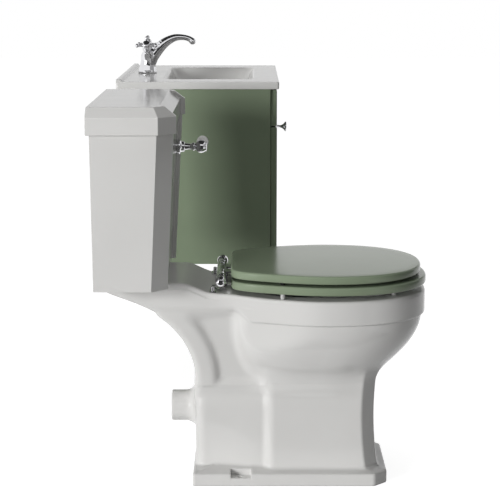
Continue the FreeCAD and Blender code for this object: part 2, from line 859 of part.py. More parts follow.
def coupling():
    """Doughnut seal, bolts and nuts that hold the tank down on the pan."""
    seat_floor = f"({DECK} - inlet_seat_depth)"
    seal_height = "inlet_seat_depth - siphon_nut_thickness"
    seal = cut("coupling_ring", cylinder("seal_outer", "inlet_seat - 2 * screw_gap", seal_height),
               [cylinder("seal_bore", "siphon_tail + 2 * screw_gap", seal_height)])
    keep(seal, "coupling_seal", TOILET, "0", INLET_Y, seat_floor)
    land = f"({DECK} - coupling_land)"
    bolt_foot = f"({land} - coupling_nut_height - coupling_tail)"
    x = "coupling_spacing / 2"
    shank = cylinder("bolt_shank", "coupling_bolt", f"{TANK_FLOOR} - {bolt_foot}",
                     (x, INLET_Y, bolt_foot))
    head = cylinder("bolt_head", "coupling_head", "coupling_head_height", (x, INLET_Y, TANK_FLOOR))
    keep(both_sides("coupling_bolts", fuse("coupling_bolt_one", [shank, head])),
         "coupling_bolts", TOILET)
    nut = cut("coupling_nut_one",
              hexagon("nut_blank", "coupling_nut", "coupling_nut_height",
                      (x, INLET_Y, f"{land} - coupling_nut_height")),
              [cylinder("nut_bore", "coupling_bolt + screw_gap", "coupling_nut_height",
                        (x, INLET_Y, f"{land} - coupling_nut_height"))])
    keep(both_sides("coupling_nuts", nut), "coupling_nuts", TOILET)


def siphon():
    """Lever siphon: outlet leg, top bend and lifting chamber in one moulding, plus its moving rod."""
    bend_z = f"({TANK_FLOOR} + siphon_rise)"
    tail_foot = f"({TANK_FLOOR} - siphon_tail_length)"
    chamber_z = f"({TANK_FLOOR} + siphon_stand)"
    inner = "siphon_tube - 2 * siphon_tube_wall"

    def bend(name, diameter):
        item = doc.addObject("Part::Torus", name)
        bind(item, Radius1="siphon_spacing / 2", Radius2=f"({diameter}) / 2")
        item.Angle3 = 180
        item.Placement.Rotation = FreeCAD.Rotation(AXES["X"], 90)
        return seat(item, "siphon_spacing / 2", INLET_Y, bend_z)

    leg = ("0", INLET_Y, TANK_FLOOR)
    rod = ("siphon_spacing", INLET_Y, chamber_z)
    outside = [cylinder("siphon_tail_out", "siphon_tail", "siphon_tail_length + 1",
                        ("0", INLET_Y, tail_foot)),
               cylinder("siphon_foot", "siphon_flange", "siphon_flange_thickness", leg),
               cylinder("siphon_leg", "siphon_tube", "siphon_rise", leg),
               bend("siphon_bend", "siphon_tube"),
               cylinder("siphon_riser", "siphon_tube", f"{bend_z} - {chamber_z}", rod),
               cylinder("siphon_bell", "siphon_chamber", "siphon_chamber_height", rod)]
    inside = [cylinder("siphon_tail_bore", "siphon_bore", "siphon_tail_length + 2",
                       ("0", INLET_Y, f"{tail_foot} - 1")),
              cylinder("siphon_leg_bore", inner, "siphon_rise", leg),
              bend("siphon_bend_bore", inner),
              cylinder("siphon_riser_bore", inner, f"{bend_z} - {chamber_z}", rod),
              cylinder("siphon_bell_bore", "siphon_chamber - 2 * siphon_tube_wall",
                       "siphon_chamber_height - siphon_tube_wall + 1",
                       ("siphon_spacing", INLET_Y, f"{chamber_z} - 1")),
              cylinder("siphon_rod_hole", "lift_rod + 2 * screw_gap", "siphon_rise + siphon_tube", rod)]
    keep(cut("siphon_body", fuse("siphon_outside", outside), inside), "siphon_body", TOILET)
    nut_foot = ("0", INLET_Y, f"{DECK} - siphon_nut_thickness")
    nut = cut("siphon_nut",
              hexagon("siphon_nut_blank", "siphon_nut", "siphon_nut_thickness", nut_foot),
              [cylinder("siphon_nut_bore", "siphon_tail + screw_gap", "siphon_nut_thickness", nut_foot)])
    keep(nut, "siphon_nut", TOILET)
    plate_z = f"({chamber_z} + siphon_tube_wall)"
    plate = cylinder("siphon_plate", "siphon_chamber - 2 * siphon_tube_wall - 2",
                     "siphon_plate_thickness")
    keep(plate, "siphon_plate", TOILET, "siphon_spacing", INLET_Y, plate_z)
    tab_z = f"({LEVER_Z} + lift_pin / 2 + lift_play)"
    rod_foot = f"({plate_z} + siphon_plate_thickness)"
    shaft = cylinder("lift_shaft", "lift_rod", f"{tab_z} + lift_tab_thickness - {rod_foot}",
                     ("siphon_spacing", INLET_Y, rod_foot))
    tab = box("lift_tab", ("lift_tab_length", "lift_arm_width", "lift_tab_thickness"),
              ("siphon_spacing - lift_rod", f"{INLET_Y} - lift_arm_width / 2", tab_z))
    keep(fuse("siphon_lift_rod", [shaft, tab]), "siphon_lift_rod", TOILET)


def fill_valve():
    """Bottom-entry fill valve with a short float arm on its pivot."""
    place = ("valve_offset", "-valve_setback")
    tail_foot = f"({TANK_FLOOR} - valve_tail_length)"
    head_z = f"({TANK_FLOOR} + valve_height)"
    pivot_z = f"({head_z} - valve_column / 2)"
    head_side = "(-valve_setback + valve_column / 2)"
    nut_low = f"({DECK} - valve_nut_thickness)"
    pieces = [cylinder("valve_free_end", "valve_end", f"{nut_low} - {tail_foot}", place + (tail_foot,)),
              cylinder("valve_thread", "valve_tail", f"{TANK_FLOOR} - {nut_low}", place + (nut_low,)),
              cylinder("valve_foot", "valve_flange", "siphon_flange_thickness", place + (TANK_FLOOR,)),
              cylinder("valve_stem", "valve_column", "valve_height - valve_column / 2",
                       place + (TANK_FLOOR,)),
              box("valve_head", ("valve_column",) * 3,
                  ("valve_offset - valve_column / 2", "-valve_setback - valve_column / 2",
                   f"{head_z} - valve_column")),
              cylinder("valve_pin", "valve_pivot", "valve_pivot_length + 1",
                       ("valve_offset", f"{head_side} - 1", pivot_z), "Y")]
    way = cylinder("valve_way", "valve_tail / 2", "valve_height", place + (f"{tail_foot} - 1",))
    keep(cut("fill_valve_body", fuse("valve_solid", pieces), [way]), "fill_valve_body", TOILET)
    nut_foot = place + (nut_low,)
    nut = cut("fill_valve_nut", hexagon("valve_nut_blank", "valve_nut", "valve_nut_thickness", nut_foot),
              [cylinder("valve_nut_bore", "valve_tail + screw_gap", "valve_nut_thickness", nut_foot)])
    keep(nut, "fill_valve_nut", TOILET)
    arm_y = f"({head_side} + slide_gap)"
    eye = cylinder("float_eye", "2.4 * valve_pivot", "float_arm_width",
                   ("valve_offset", arm_y, pivot_z), "Y")
    bar_low = f"({pivot_z} - float_arm_height / 2)"
    strip = box("float_strip", ("float_arm_length + float_diameter / 4", "float_arm_width",
                                "float_arm_height"),
                ("valve_offset - float_arm_length - float_diameter / 4", arm_y, bar_low))
    bore = cylinder("float_bore", "valve_pivot + 2 * running_gap", "float_arm_width",
                    ("valve_offset", arm_y, pivot_z), "Y")
    keep(cut("float_arm", fuse("float_arm_solid", [eye, strip]), [bore]), "float_arm", TOILET)
    drum = cylinder("cistern_float", "float_diameter", "float_height")
    keep(drum, "cistern_float", TOILET, "valve_offset - float_arm_length",
         f"{arm_y} + float_arm_width / 2", f"{bar_low} - float_height")


# Flush lever


def flush_lever():
    """Front lever with a ceramic end, its rose and bush, and the lifting arm inside the tank."""
    axis = ("lever_offset", LEVER_Z)

    def on_axis(name, diameter, near, far):
        """A round bar on the lever's axis between two distances out from the wall."""
        return cylinder(name, diameter, f"({far}) - ({near})", (axis[0], f"-({far})", axis[1]), "Y")

    bush_end = "lever_rose_reach - lever_bush_length"
    disc = cut("rose_on_panel", on_axis("rose_disc", "lever_rose", bush_end, "lever_rose_reach"),
               [tank_shape("tank_for_rose")])
    bush = on_axis("rose_bush", "lever_bush", bush_end, "lever_rose_reach")
    bore = on_axis("rose_bore", "lever_spindle + 2 * running_gap", "0", "lever_reach")
    keep(cut("lever_rose", fuse("rose_solid", [disc, bush]), [bore]), "lever_rose", TOILET)
    lean = "((tank_top_depth - tank_base_depth) / tank_height)"
    wall_inside = f"(tank_top_depth - lever_drop * {lean} - tank_recess - tank_wall)"
    nut_face = f"({wall_inside} - lever_nut / 2 * {lean} - screw_gap / 2)"
    nut_back = f"({nut_face} - lever_nut_thickness)"
    nut_blank = hexagon("lever_nut_blank", "lever_nut", "lever_nut_thickness",
                        (axis[0], f"-{nut_face}", axis[1]), "Y")
    nut_bore = on_axis("lever_nut_bore", "lever_bush + screw_gap", nut_back, nut_face)
    keep(cut("lever_back_nut", nut_blank, [nut_bore]), "lever_back_nut", TOILET)
    hub = (axis[0], HUB_Y, axis[1])
    pieces = [on_axis("lever_rod", "lever_spindle", "inlet_setback - lift_arm_width / 2",
                      "lever_reach - lever_hub_setback"),
              on_axis("lever_neck_bar", "lever_neck", "lever_rose_reach + slide_gap",
                      "lever_reach - lever_hub_setback"),
              sphere("lever_ball", "lever_hub", hub),
              on_axis("lever_cap_bar", "lever_cap", "lever_reach - lever_hub_setback", "lever_reach"),
              cylinder("lever_grip_bar", "lever_arm", "lever_arm_length", hub, "X")]
    keep(fuse("lever_handle", pieces), "lever_handle", TOILET)
    knob = turned("lever_knob_turned",
                  [("0", "0"), ("lever_knob_tip / 2", "0"),
                   ("lever_knob * 0.44", "lever_knob_length * 0.3"),
                   ("lever_knob / 2", "lever_knob_length * 0.55"),
                   ("lever_knob * 0.43", "lever_knob_length * 0.8"),
                   ("lever_knob_tip / 2", "lever_knob_length"), ("0", "lever_knob_length")], "X")
    seat(knob, "lever_offset + lever_knob_start", HUB_Y, axis[1])
    socket = cylinder("lever_knob_socket", "lever_arm + 2 * screw_gap",
                      "lever_arm_length + screw_gap", hub, "X")
    keep(cut("lever_knob", knob, [socket]), "lever_knob", TOILET)
    eye_far = "inlet_setback + lift_arm_width / 2"
    eye_near = "inlet_setback - lift_arm_width / 2"
    pin = cylinder("lift_pin_bar", "lift_pin", "lift_arm_width",
                   ("lever_offset - lift_arm_length", f"-({eye_far})", axis[1]), "Y")
    strip = box("lift_strip", ("lift_arm_length", "lift_arm_width", "lift_pin"),
                ("lever_offset - lift_arm_length", f"-({eye_far})", f"{LEVER_Z} - lift_pin / 2"))
    eye = on_axis("lift_eye", "lift_arm_eye", eye_near, eye_far)
    bored = on_axis("lift_bore", "lever_spindle + screw_gap", eye_near, eye_far)
    keep(cut("lever_lift_arm", fuse("lift_arm_solid", [pin, strip, eye]), [bored]),
         "lever_lift_arm", TOILET)


# Seat and its bar hinge


def seat_oval(setback, level):
    """Outline of the seat: round in front, tapering to a straight back with tight corners."""
    round_power = 2.25
    corner_power = 12
    taper_power = 1.6
    front_steps = 10
    front_reach = s.rim_front + s.seat_overhang - setback - s.seat_widest
    back_reach = s.seat_widest - s.seat_back
    right = []
    for step in range(front_steps):
        angle = math.pi / 2 * step / front_steps
        x = math.sin(angle) ** (2 / round_power) * s.seat_width / 2
        right.append((x, s.seat_widest + math.cos(angle) ** (2 / round_power) * front_reach))
    shares = [(1, 0), (1, 0.22), (1, 0.45)]
    for degrees in (5, 15, 30, 45, 60, 75, 85):
        angle = math.radians(degrees)
        shares.append((math.cos(angle) ** (2 / corner_power), math.sin(angle) ** (2 / corner_power)))
    shares += [(0.33, 1), (0, 1)]
    for across, along in shares:
        x = across * (s.seat_width / 2 - s.seat_taper * along ** taper_power)
        right.append((x, s.seat_widest - along * back_reach))
    left = [(-x, out) for x, out in reversed(right[1:-1])]
    curve = Part.BSplineCurve()
    curve.interpolate(Points=[vector(x, -out, level) for x, out in right + left], PeriodicFlag=True)
    return Part.Wire(curve.toShape())


def seat_ring():
    ring_front = s.rim_front + s.seat_overhang
    level = s.rim_top + s.ring_buffer_height
    hole = egg_wire(s.ring_hole_width, s.ring_hole_back, ring_front - s.ring_lip, s.seat_widest,
                    level - PROUD)
    item = doc.addObject("Part::Feature", "seat_ring")
    item.Shape = slab(seat_oval(0, level), s.ring_thickness).cut(slab(hole, s.ring_thickness + 2 * PROUD))
    keep(item, "seat_ring", TOILET)


def seat_lid():
    level = s.rim_top + s.ring_buffer_height + s.ring_thickness + s.lid_buffer_height
    item = doc.addObject("Part::Feature", "seat_lid")
    item.Shape = slab(seat_oval(s.lid_setback, level), s.lid_plate_thickness)
    keep(item, "seat_lid", TOILET)


def buffers(label, top, height):
    """Four small feet under the ring or the lid."""
    studs = []
    for end in ("rear", "front"):
        foot = (f"{end}_buffer_spacing / 2", f"-{end}_buffer_setback", f"{top} - ({height})")
        studs.append(cylinder(f"{label}_{end}", "buffer_diameter", height, foot))
    keep(both_sides(label, fuse(f"{label}_half", studs)), label, TOILET)


def seat_buffers():
    buffers("ring_buffers", RING_BASE, "ring_buffer_height - slide_gap")
    buffers("lid_buffers", LID_BASE, "lid_buffer_height - slide_gap")


def hinge_bar():
    """Fixed rod with ball ends on two pillars, each on a post behind the rod, bolted through the pan."""
    half_rod = "(hinge_rod_length / 2)"
    keep(cylinder("hinge_rod_bar", "hinge_rod", "hinge_rod_length", axis="X"), "hinge_rod", TOILET,
         f"-{half_rod}", HINGE_Y, HINGE_Z)
    ball = doc.addObject("Part::Sphere", "finial_ball")
    bind(ball, Radius="hinge_finial / 2")
    ball.Angle1 = -45
    seat(point_along(ball, "X"), f"{half_rod} + hinge_finial / 2 * sin(45)", HINGE_Y, HINGE_Z)
    keep(both_sides("hinge_finials", ball), "hinge_finials", TOILET)
    x = "hinge_spacing / 2"
    head_base = f"{HINGE_Z} - pillar_head / 2"
    base = cylinder("pillar_foot", "pillar_base", "pillar_base_height", (x, POST_Y, "rim_top"))
    post = cylinder("pillar_stem", "pillar_post", "hinge_rise", (x, POST_Y, "rim_top"))
    head = cylinder("pillar_round_end", "pillar_width", "pillar_head", (x, POST_Y, head_base))
    arm = box("pillar_arm", ("pillar_width", "hinge_post_offset", "pillar_head"),
              (f"{x} - pillar_width / 2", HINGE_Y, head_base))
    eye = cylinder("pillar_ring", "pillar_eye", "pillar_width",
                   (f"{x} - pillar_width / 2", HINGE_Y, HINGE_Z), "X")
    rod_bore = cylinder("pillar_bore", "hinge_rod + 2 * running_gap", "pillar_width",
                        (f"{x} - pillar_width / 2", HINGE_Y, HINGE_Z), "X")
    stud_bore = cylinder("pillar_socket", "hinge_stud + screw_gap", "hinge_rise / 2",
                         (x, POST_Y, "rim_top"))
    pillar = cut("hinge_pillar_one", fuse("pillar_solid", [base, post, head, arm, eye]),
                 [rod_bore, stud_bore])
    keep(both_sides("hinge_pillars", pillar), "hinge_pillars", TOILET)
    stud_top = "(rim_top + hinge_rise / 2 - screw_gap)"
    stud = cylinder("hinge_stud_one", "hinge_stud", "hinge_stud_length",
                    (x, POST_Y, f"{stud_top} - hinge_stud_length"))
    keep(both_sides("hinge_studs", stud), "hinge_studs", TOILET)
    nut_foot = (x, POST_Y, "rim_top - hinge_land - hinge_nut_height")
    nut = cut("hinge_nut_one", hexagon("hinge_nut_blank", "hinge_nut", "hinge_nut_height", nut_foot),
              [cylinder("hinge_nut_bore", "hinge_stud + screw_gap", "hinge_nut_height", nut_foot)])
    keep(both_sides("hinge_nuts", nut), "hinge_nuts", TOILET)


def bracket(label, spacing, strap_base, leg_base):
    """Eye on the hinge rod with a strap under the ring or the lid."""
    low_x = f"({spacing} / 2 - bracket_width / 2)"
    eye = cylinder(f"{label}_eye", "bracket_eye", "bracket_width", (low_x, HINGE_Y, HINGE_Z), "X")
    strap_front = "(hinge_setback + bracket_reach)"
    leg_back = "(hinge_setback + hinge_rod / 2 + running_gap)"
    strap = box(f"{label}_strap", ("bracket_width", f"{strap_front} - {leg_back}", "bracket_strap"),
                (low_x, f"-{strap_front}", strap_base))
    leg = box(f"{label}_leg", ("bracket_width", "2 * bracket_strap", f"{HINGE_Z} - ({leg_base})"),
              (low_x, f"-{leg_back} - 2 * bracket_strap", leg_base))
    bore = cylinder(f"{label}_bore", "hinge_rod + 2 * running_gap", "bracket_width",
                    (low_x, HINGE_Y, HINGE_Z), "X")
    one = cut(f"{label}_one", fuse(f"{label}_solid", [eye, strap, leg]), [bore])
    keep(both_sides(label, one), label, TOILET)


def hinge_brackets():
    bracket("ring_brackets", "ring_bracket_spacing", f"{RING_BASE} - bracket_strap",
            f"{RING_BASE} - bracket_strap")
    bracket("lid_brackets", "lid_bracket_spacing", f"{LID_BASE} - bracket_strap",
            f"{HINGE_Z} - bracket_strap")


# Basin, its waste and its trap


def rounded_rectangle(length, breadth, corner, middle, level):
    """Closed outline of four sides and four corner arcs."""
    half_x = length / 2
    half_y = breadth / 2
    diagonal = corner * (1 - math.sqrt(0.5))
    edges = []
    corners = [(1, 1), (-1, 1), (-1, -1), (1, -1)]
    starts = []
    for sx, sy in corners:
        side = vector(sx * half_x, middle + sy * (half_y - corner), level)
        end = vector(sx * (half_x - corner), middle + sy * half_y, level)
        mid = vector(sx * (half_x - diagonal), middle + sy * (half_y - diagonal), level)
        first, last = (side, end) if sx * sy > 0 else (end, side)
        starts.append((first, mid, last))
    for index, (first, mid, last) in enumerate(starts):
        edges.append(Part.Arc(first, mid, last).toShape())
        edges.append(Part.LineSegment(last, starts[(index + 1) % len(starts)][0]).toShape())
    return Part.Wire(edges)


def basin_bowl(grow):
    middle = -(s.bowl_setback + s.bowl_breadth / 2)
    top = rounded_rectangle(s.bowl_length + 2 * grow, s.bowl_breadth + 2 * grow, s.bowl_corner + grow,
                            middle, s.basin_top - (s.basin_slab / 2 if grow else 0))
    floor = rounded_rectangle(s.bowl_length - 2 * s.bowl_end_slope + 2 * grow,
                              s.bowl_breadth - 2 * s.bowl_side_slope + 2 * grow, s.bowl_corner + grow,
                              middle, s.basin_top - s.bowl_depth - grow)
    return Part.makeLoft([top, floor], True, True)


def basin():
    low = vector(-s.basin_width / 2, -s.basin_depth, s.basin_top - s.basin_slab)
    top = Part.makeBox(s.basin_width, s.basin_depth, s.basin_slab, low)
    ridge = Part.makeBox(s.basin_width, s.basin_ridge_depth, s.basin_ridge_height + PROUD,
                         vector(-s.basin_width / 2, -s.basin_ridge_depth, s.basin_top - PROUD))
    tap_hole = bar(vector(0, -s.tap_setback, low.z - PROUD),
                   vector(0, -s.tap_setback, s.basin_top + PROUD),
                   s.tap_hole)
    middle = -(s.bowl_setback + s.bowl_breadth / 2)
    floor = s.basin_top - s.bowl_depth
    waste_hole = bar(vector(0, middle, floor - 2 * s.basin_wall), vector(0, middle, floor + PROUD),
                     s.waste_hole)
    shape = top.fuse(ridge).fuse(basin_bowl(s.basin_wall))
    for hollow in (basin_bowl(0), tap_hole, waste_hole):
        shape = shape.cut(hollow)
    item = doc.addObject("Part::Feature", "basin")
    item.Shape = shape
    keep(item, "basin", VANITY)


def waste_rod(name, diameter, low, high):
    """A round bar on the waste's axis between two levels."""
    return cylinder(name, diameter, f"({high}) - ({low})", ("0", BOWL_MID, low))


def waste():
    """Flanged waste with a bridge that guides the rising plug."""
    flange_top = f"({BOWL_FLOOR} + waste_flange_thickness)"
    guide_low = f"({BOWL_FLOOR} - waste_guide_drop)"
    guide_high = f"({guide_low} + waste_guide_height)"
    shell = cut("waste_shell",
                fuse("waste_outside", [waste_rod("waste_rim", "waste_flange", BOWL_FLOOR, flange_top),
                                       waste_rod("waste_pipe", "waste_tail", WASTE_END, flange_top)]),
                [waste_rod("waste_way", "waste_bore", f"{WASTE_END} - 1", f"{flange_top} + 1")])
    bridge = box("waste_bar", ("waste_bore + 2", "waste_bridge", "waste_bridge"),
                 ("-waste_bore / 2 - 1", f"{BOWL_MID} - waste_bridge / 2", guide_low))
    guide = waste_rod("waste_guide_bar", "waste_guide", guide_low, guide_high)
    stem_bore = waste_rod("waste_stem_bore", "plug_stem + 2 * running_gap", f"{guide_low} - 1",
                          f"{guide_high} + 1")
    keep(cut("waste_body", fuse("waste_solid", [shell, bridge, guide]), [stem_bore]), "waste_body", VANITY)
    plug_low = f"({flange_top} + slide_gap)"
    disc = waste_rod("plug_disc", "plug_diameter", plug_low, f"{plug_low} + plug_thickness")
    stem = waste_rod("plug_stem_bar", "plug_stem", f"{plug_low} - plug_stem_length", plug_low)
    keep(fuse("waste_plug", [disc, stem]), "waste_plug", VANITY)
    nut_low = f"({BOWL_FLOOR} - basin_wall - waste_nut_thickness)"
    nut = cut("waste_nut", hexagon("waste_nut_blank", "waste_nut", "waste_nut_thickness",
                                   ("0", BOWL_MID, nut_low)),
              [waste_rod("waste_nut_bore", "waste_tail + screw_gap", nut_low,
                         f"{nut_low} + waste_nut_thickness")])
    keep(nut, "waste_nut", VANITY)


def bottle_trap():
    """Bottle trap under the basin and its pipe back to the wall."""
    collar_high = f"({WASTE_END} + trap_collar_lap)"
    cup_high = f"({collar_high} - trap_collar_height)"
    cup_low = f"({cup_high} - trap_cup_height)"
    pipe_z = f"({cup_high} - trap_outlet_drop)"
    solid = fuse("trap_outside", [waste_rod("trap_nut", "trap_collar", cup_high, collar_high),
                                  waste_rod("trap_bottle", "trap_cup", cup_low, cup_high)])
    room = waste_rod("trap_room", "trap_cup - 2 * trap_cup_wall", f"{cup_low} + trap_cup_wall",
                     f"{cup_high} - trap_cup_wall")
    inlet = waste_rod("trap_inlet", "waste_tail + screw_gap", f"{cup_high} - trap_cup_wall - 1",
                      f"{collar_high} + 1")
    pipe_start = f"({BOWL_MID} + trap_cup / 2 - trap_cup_wall)"
    outlet = cylinder("trap_outlet", "trap_pipe + screw_gap", "trap_cup",
                      ("0", BOWL_MID, pipe_z), "Y")
    keep(cut("trap_body", solid, [room, inlet, outlet]), "trap_body", VANITY)
    pipe = fuse("pipe_outside",
                [cylinder("pipe_tube", "trap_pipe", f"-{pipe_start}", ("0", pipe_start, pipe_z), "Y"),
                 cylinder("pipe_union", "trap_union", "trap_union_length",
                          ("0", f"{BOWL_MID} + trap_cup / 2 + screw_gap", pipe_z), "Y")])
    way = cylinder("pipe_way", "trap_pipe_bore", f"-{pipe_start}", ("0", pipe_start, pipe_z), "Y")
    keep(cut("trap_outlet_pipe", pipe, [way]), "trap_outlet_pipe", VANITY)


# Basin tap


def spout():
    """Swan-neck spout that rises from the tap's crown and turns down at its tip."""
    y = -s.tap_setback
    root = s.basin_top + s.tap_shoulder_height
    top = s.basin_top + s.tap_spout_rise - s.tap_spout / 2
    reach = s.tap_spout_reach - s.tap_spout / 2
    points = [vector(0, y, root), vector(0, y - reach * 0.08, blend(root, top, 0.55))]
    points += [vector(0, y - reach * 0.4, top - 4), vector(0, y - reach * 0.76, top)]
    points += [vector(0, y - reach, top - s.tap_spout_drop)]
    item = doc.addObject("Part::Feature", "tap_spout_tube")
    item.Shape = tube_along(rounded_path(points, 22), s.tap_spout)
    return item


def arm_rod(name, side, diameter, near, far):
    """A round bar on one leaning tap arm between two distances from the tap's own axis."""
    item = doc.addObject("Part::Cylinder", name)
    bind(item, Radius=f"({diameter}) / 2", Height=f"({far}) - ({near})")
    item.Placement.Rotation = FreeCAD.Rotation(vector(0, side, 0), 90 - s.tap_valve_tilt)
    return seat(item, f"{side} * ({near}) * cos(tap_valve_tilt)", TAP_Y,
                f"{VALVE_Z} + ({near}) * sin(tap_valve_tilt)")


def tap_valve(name, side):
    body = arm_rod(f"{name}_bonnet", side, "tap_valve", "tap_valve_start", "tap_valve_end")
    stem = arm_rod(f"{name}_stem", side, "tap_stem", "tap_valve_start", "tap_valve_end + tap_stem_length")
    return fuse(name, [body, stem])


def tap_handle(label, side):
    """Four-spoke handle with ball ends on one valve stem."""
    foot = "(tap_valve_end + slide_gap)"
    hub = arm_rod(f"{label}_hub", side, "handle_hub", foot, f"{foot} + handle_hub_length")
    centre = f"({foot} + handle_hub_length / 2)"
    lean = "tap_valve_tilt"
    middle = (f"{side} * {centre} * cos({lean})", TAP_Y, f"{VALVE_Z} + {centre} * sin({lean})")
    half = "(handle_span / 2)"
    pieces = [hub]
    for end in (-1, 1):
        level_tip = (middle[0], f"{middle[1]} + {end} * {half}", middle[2])
        leaning_tip = (f"{middle[0]} - {side * end} * {half} * sin({lean})", middle[1],
                       f"{middle[2]} + {end} * {half} * cos({lean})")
        name = f"{label}_{'low' if end < 0 else 'high'}"
        pieces.append(sphere(f"{name}_level_tip", "handle_tip", level_tip))
        pieces.append(sphere(f"{name}_leaning_tip", "handle_tip", leaning_tip))
    level = cylinder(f"{label}_level_spoke", "handle_spoke", "handle_span",
                     (middle[0], f"{middle[1]} - {half}", middle[2]), "Y")
    leaning = doc.addObject("Part::Cylinder", f"{label}_leaning_spoke")
    bind(leaning, Radius="handle_spoke / 2", Height="handle_span")
    leaning.Placement.Rotation = FreeCAD.Rotation(vector(0, -side, 0), s.tap_valve_tilt)
    seat(leaning, f"{middle[0]} + {side} * {half} * sin({lean})", middle[1],
         f"{middle[2]} - {half} * cos({lean})")
    bore = arm_rod(f"{label}_bore", side, "tap_stem + 2 * running_gap", f"{foot} - 1",
                   f"{foot} + handle_hub_length - handle_cap")
    keep(cut(label, fuse(f"{label}_solid", pieces + [level, leaning]), [bore]), label, VANITY)


def tap():
    bell = turned("tap_bell", [("0", "0"), ("tap_base / 2", "0"), ("tap_base / 2", "tap_base_height"),
                               ("tap_waist / 2", "tap_waist_height"),
                               ("tap_shoulder / 2", "tap_valve_height"),
                               ("tap_shoulder / 2", "tap_shoulder_height"),
                               ("tap_crown / 2", "tap_crown_height"), ("0", "tap_crown_height")])
    seat(bell, "0", TAP_Y, "basin_top")
    sockets = []
    for side, name in ((-1, "left"), (1, "right")):
        sockets.append(arm_rod(f"tap_{name}_socket", side, "tap_valve + 2 * screw_gap", "tap_valve_start",
                               "tap_valve_end"))
    sockets.append(cylinder("tap_stud_socket", "tap_stud + screw_gap", "tap_stud_bite + screw_gap",
                            ("0", TAP_Y, "basin_top")))
    keep(cut("tap_body", fuse("tap_solid", [bell, spout()]), sockets), "tap_body", VANITY)
    valves = doc.addObject("Part::Compound", "tap_valves")
    valves.Links = [tap_valve("tap_left_valve", -1), tap_valve("tap_right_valve", 1)]
    keep(valves, "tap_valves", VANITY)
    tap_handle("tap_left_handle", -1)
    tap_handle("tap_right_handle", 1)
    keep(cylinder("tap_stud_bar", "tap_stud", "tap_stud_length"), "tap_fixing_stud", VANITY,
         "0", TAP_Y, "basin_top + tap_stud_bite - tap_stud_length")
    nut_foot = ("0", TAP_Y, f"{CABINET_TOP} - tap_nut_thickness")
    nut = cut("tap_nut_ring", hexagon("tap_nut_blank", "tap_nut", "tap_nut_thickness", nut_foot),
              [cylinder("tap_nut_bore", "tap_stud + screw_gap", "tap_nut_thickness", nut_foot)])
    keep(nut, "tap_fixing_nut", VANITY)


# Cabinet and drawer


def panel_box(label, size, low):
    return keep(box(f"{label}_panel", size), label, VANITY, *low)


def cabinet():
    inner_half = f"({CABINET_HALF} - panel)"
    side = ("panel", "cabinet_depth", "cabinet_height")
    panel_box("cabinet_left_side", side, (f"-{CABINET_HALF}", "-cabinet_depth", CABINET_BASE))
    panel_box("cabinet_right_side", side, (inner_half, "-cabinet_depth", CABINET_BASE))
    panel_box("cabinet_bottom", (f"2 * {inner_half}", "cabinet_depth", "panel"),
              (f"-{inner_half}", "-cabinet_depth", CABINET_BASE))
    panel_box("cabinet_front_rail", (f"2 * {inner_half}", "panel", "front_rail_height"),
              (f"-{inner_half}", "-cabinet_depth", f"{CABINET_TOP} - front_rail_height"))
    panel_box("fascia_panel", (f"2 * {CABINET_HALF}", "front_panel", "fascia_height"),
              (f"-{CABINET_HALF}", "-(cabinet_depth + front_panel)", FRONT_SPLIT))
    hanger_z = f"({CABINET_TOP} - hanger_drop - hanger_height)"
    hanger_low = (f"{inner_half} - hanger_width", "-(panel + hanger_depth)", hanger_z)
    hole = cylinder("hanger_way", "hanger_hole", "panel + hanger_depth",
                    (f"{inner_half} - hanger_width / 2", "-(panel + hanger_depth)",
                     f"{hanger_z} + hanger_height / 2"), "Y")
    hanger = cut("hanging_bracket_one",
                 box("hanger_block", ("hanger_width", "hanger_depth", "hanger_height"), hanger_low), [hole])
    keep(both_sides("hanging_brackets", hanger), "hanging_brackets", VANITY)
    rail = box("back_rail_board", (f"2 * {inner_half}", "panel", "back_rail_height"),
               (f"-{inner_half}", "-panel", f"{CABINET_TOP} - back_rail_height"))
    keep(cut("cabinet_back_rail", rail, [both_sides("hanger_ways", hole)]), "cabinet_back_rail", VANITY)


def runners():
    """Fixed rails on the cabinet sides and the slides that ride beside them on the drawer."""
    size = ("runner_width", "runner_length", "runner_height")
    low_y = "-(cabinet_depth - slide_gap)"
    low_z = f"{DRAWER_BASE} + runner_rise"
    rail = box("runner_rail_one", size, (f"{CABINET_HALF} - panel - runner_width", low_y, low_z))
    keep(both_sides("runner_rails", rail), "runner_rails", VANITY)
    slide = box("runner_slide_one", size, (DRAWER_HALF, low_y, low_z))
    keep(both_sides("runner_slides", slide), "runner_slides", VANITY)


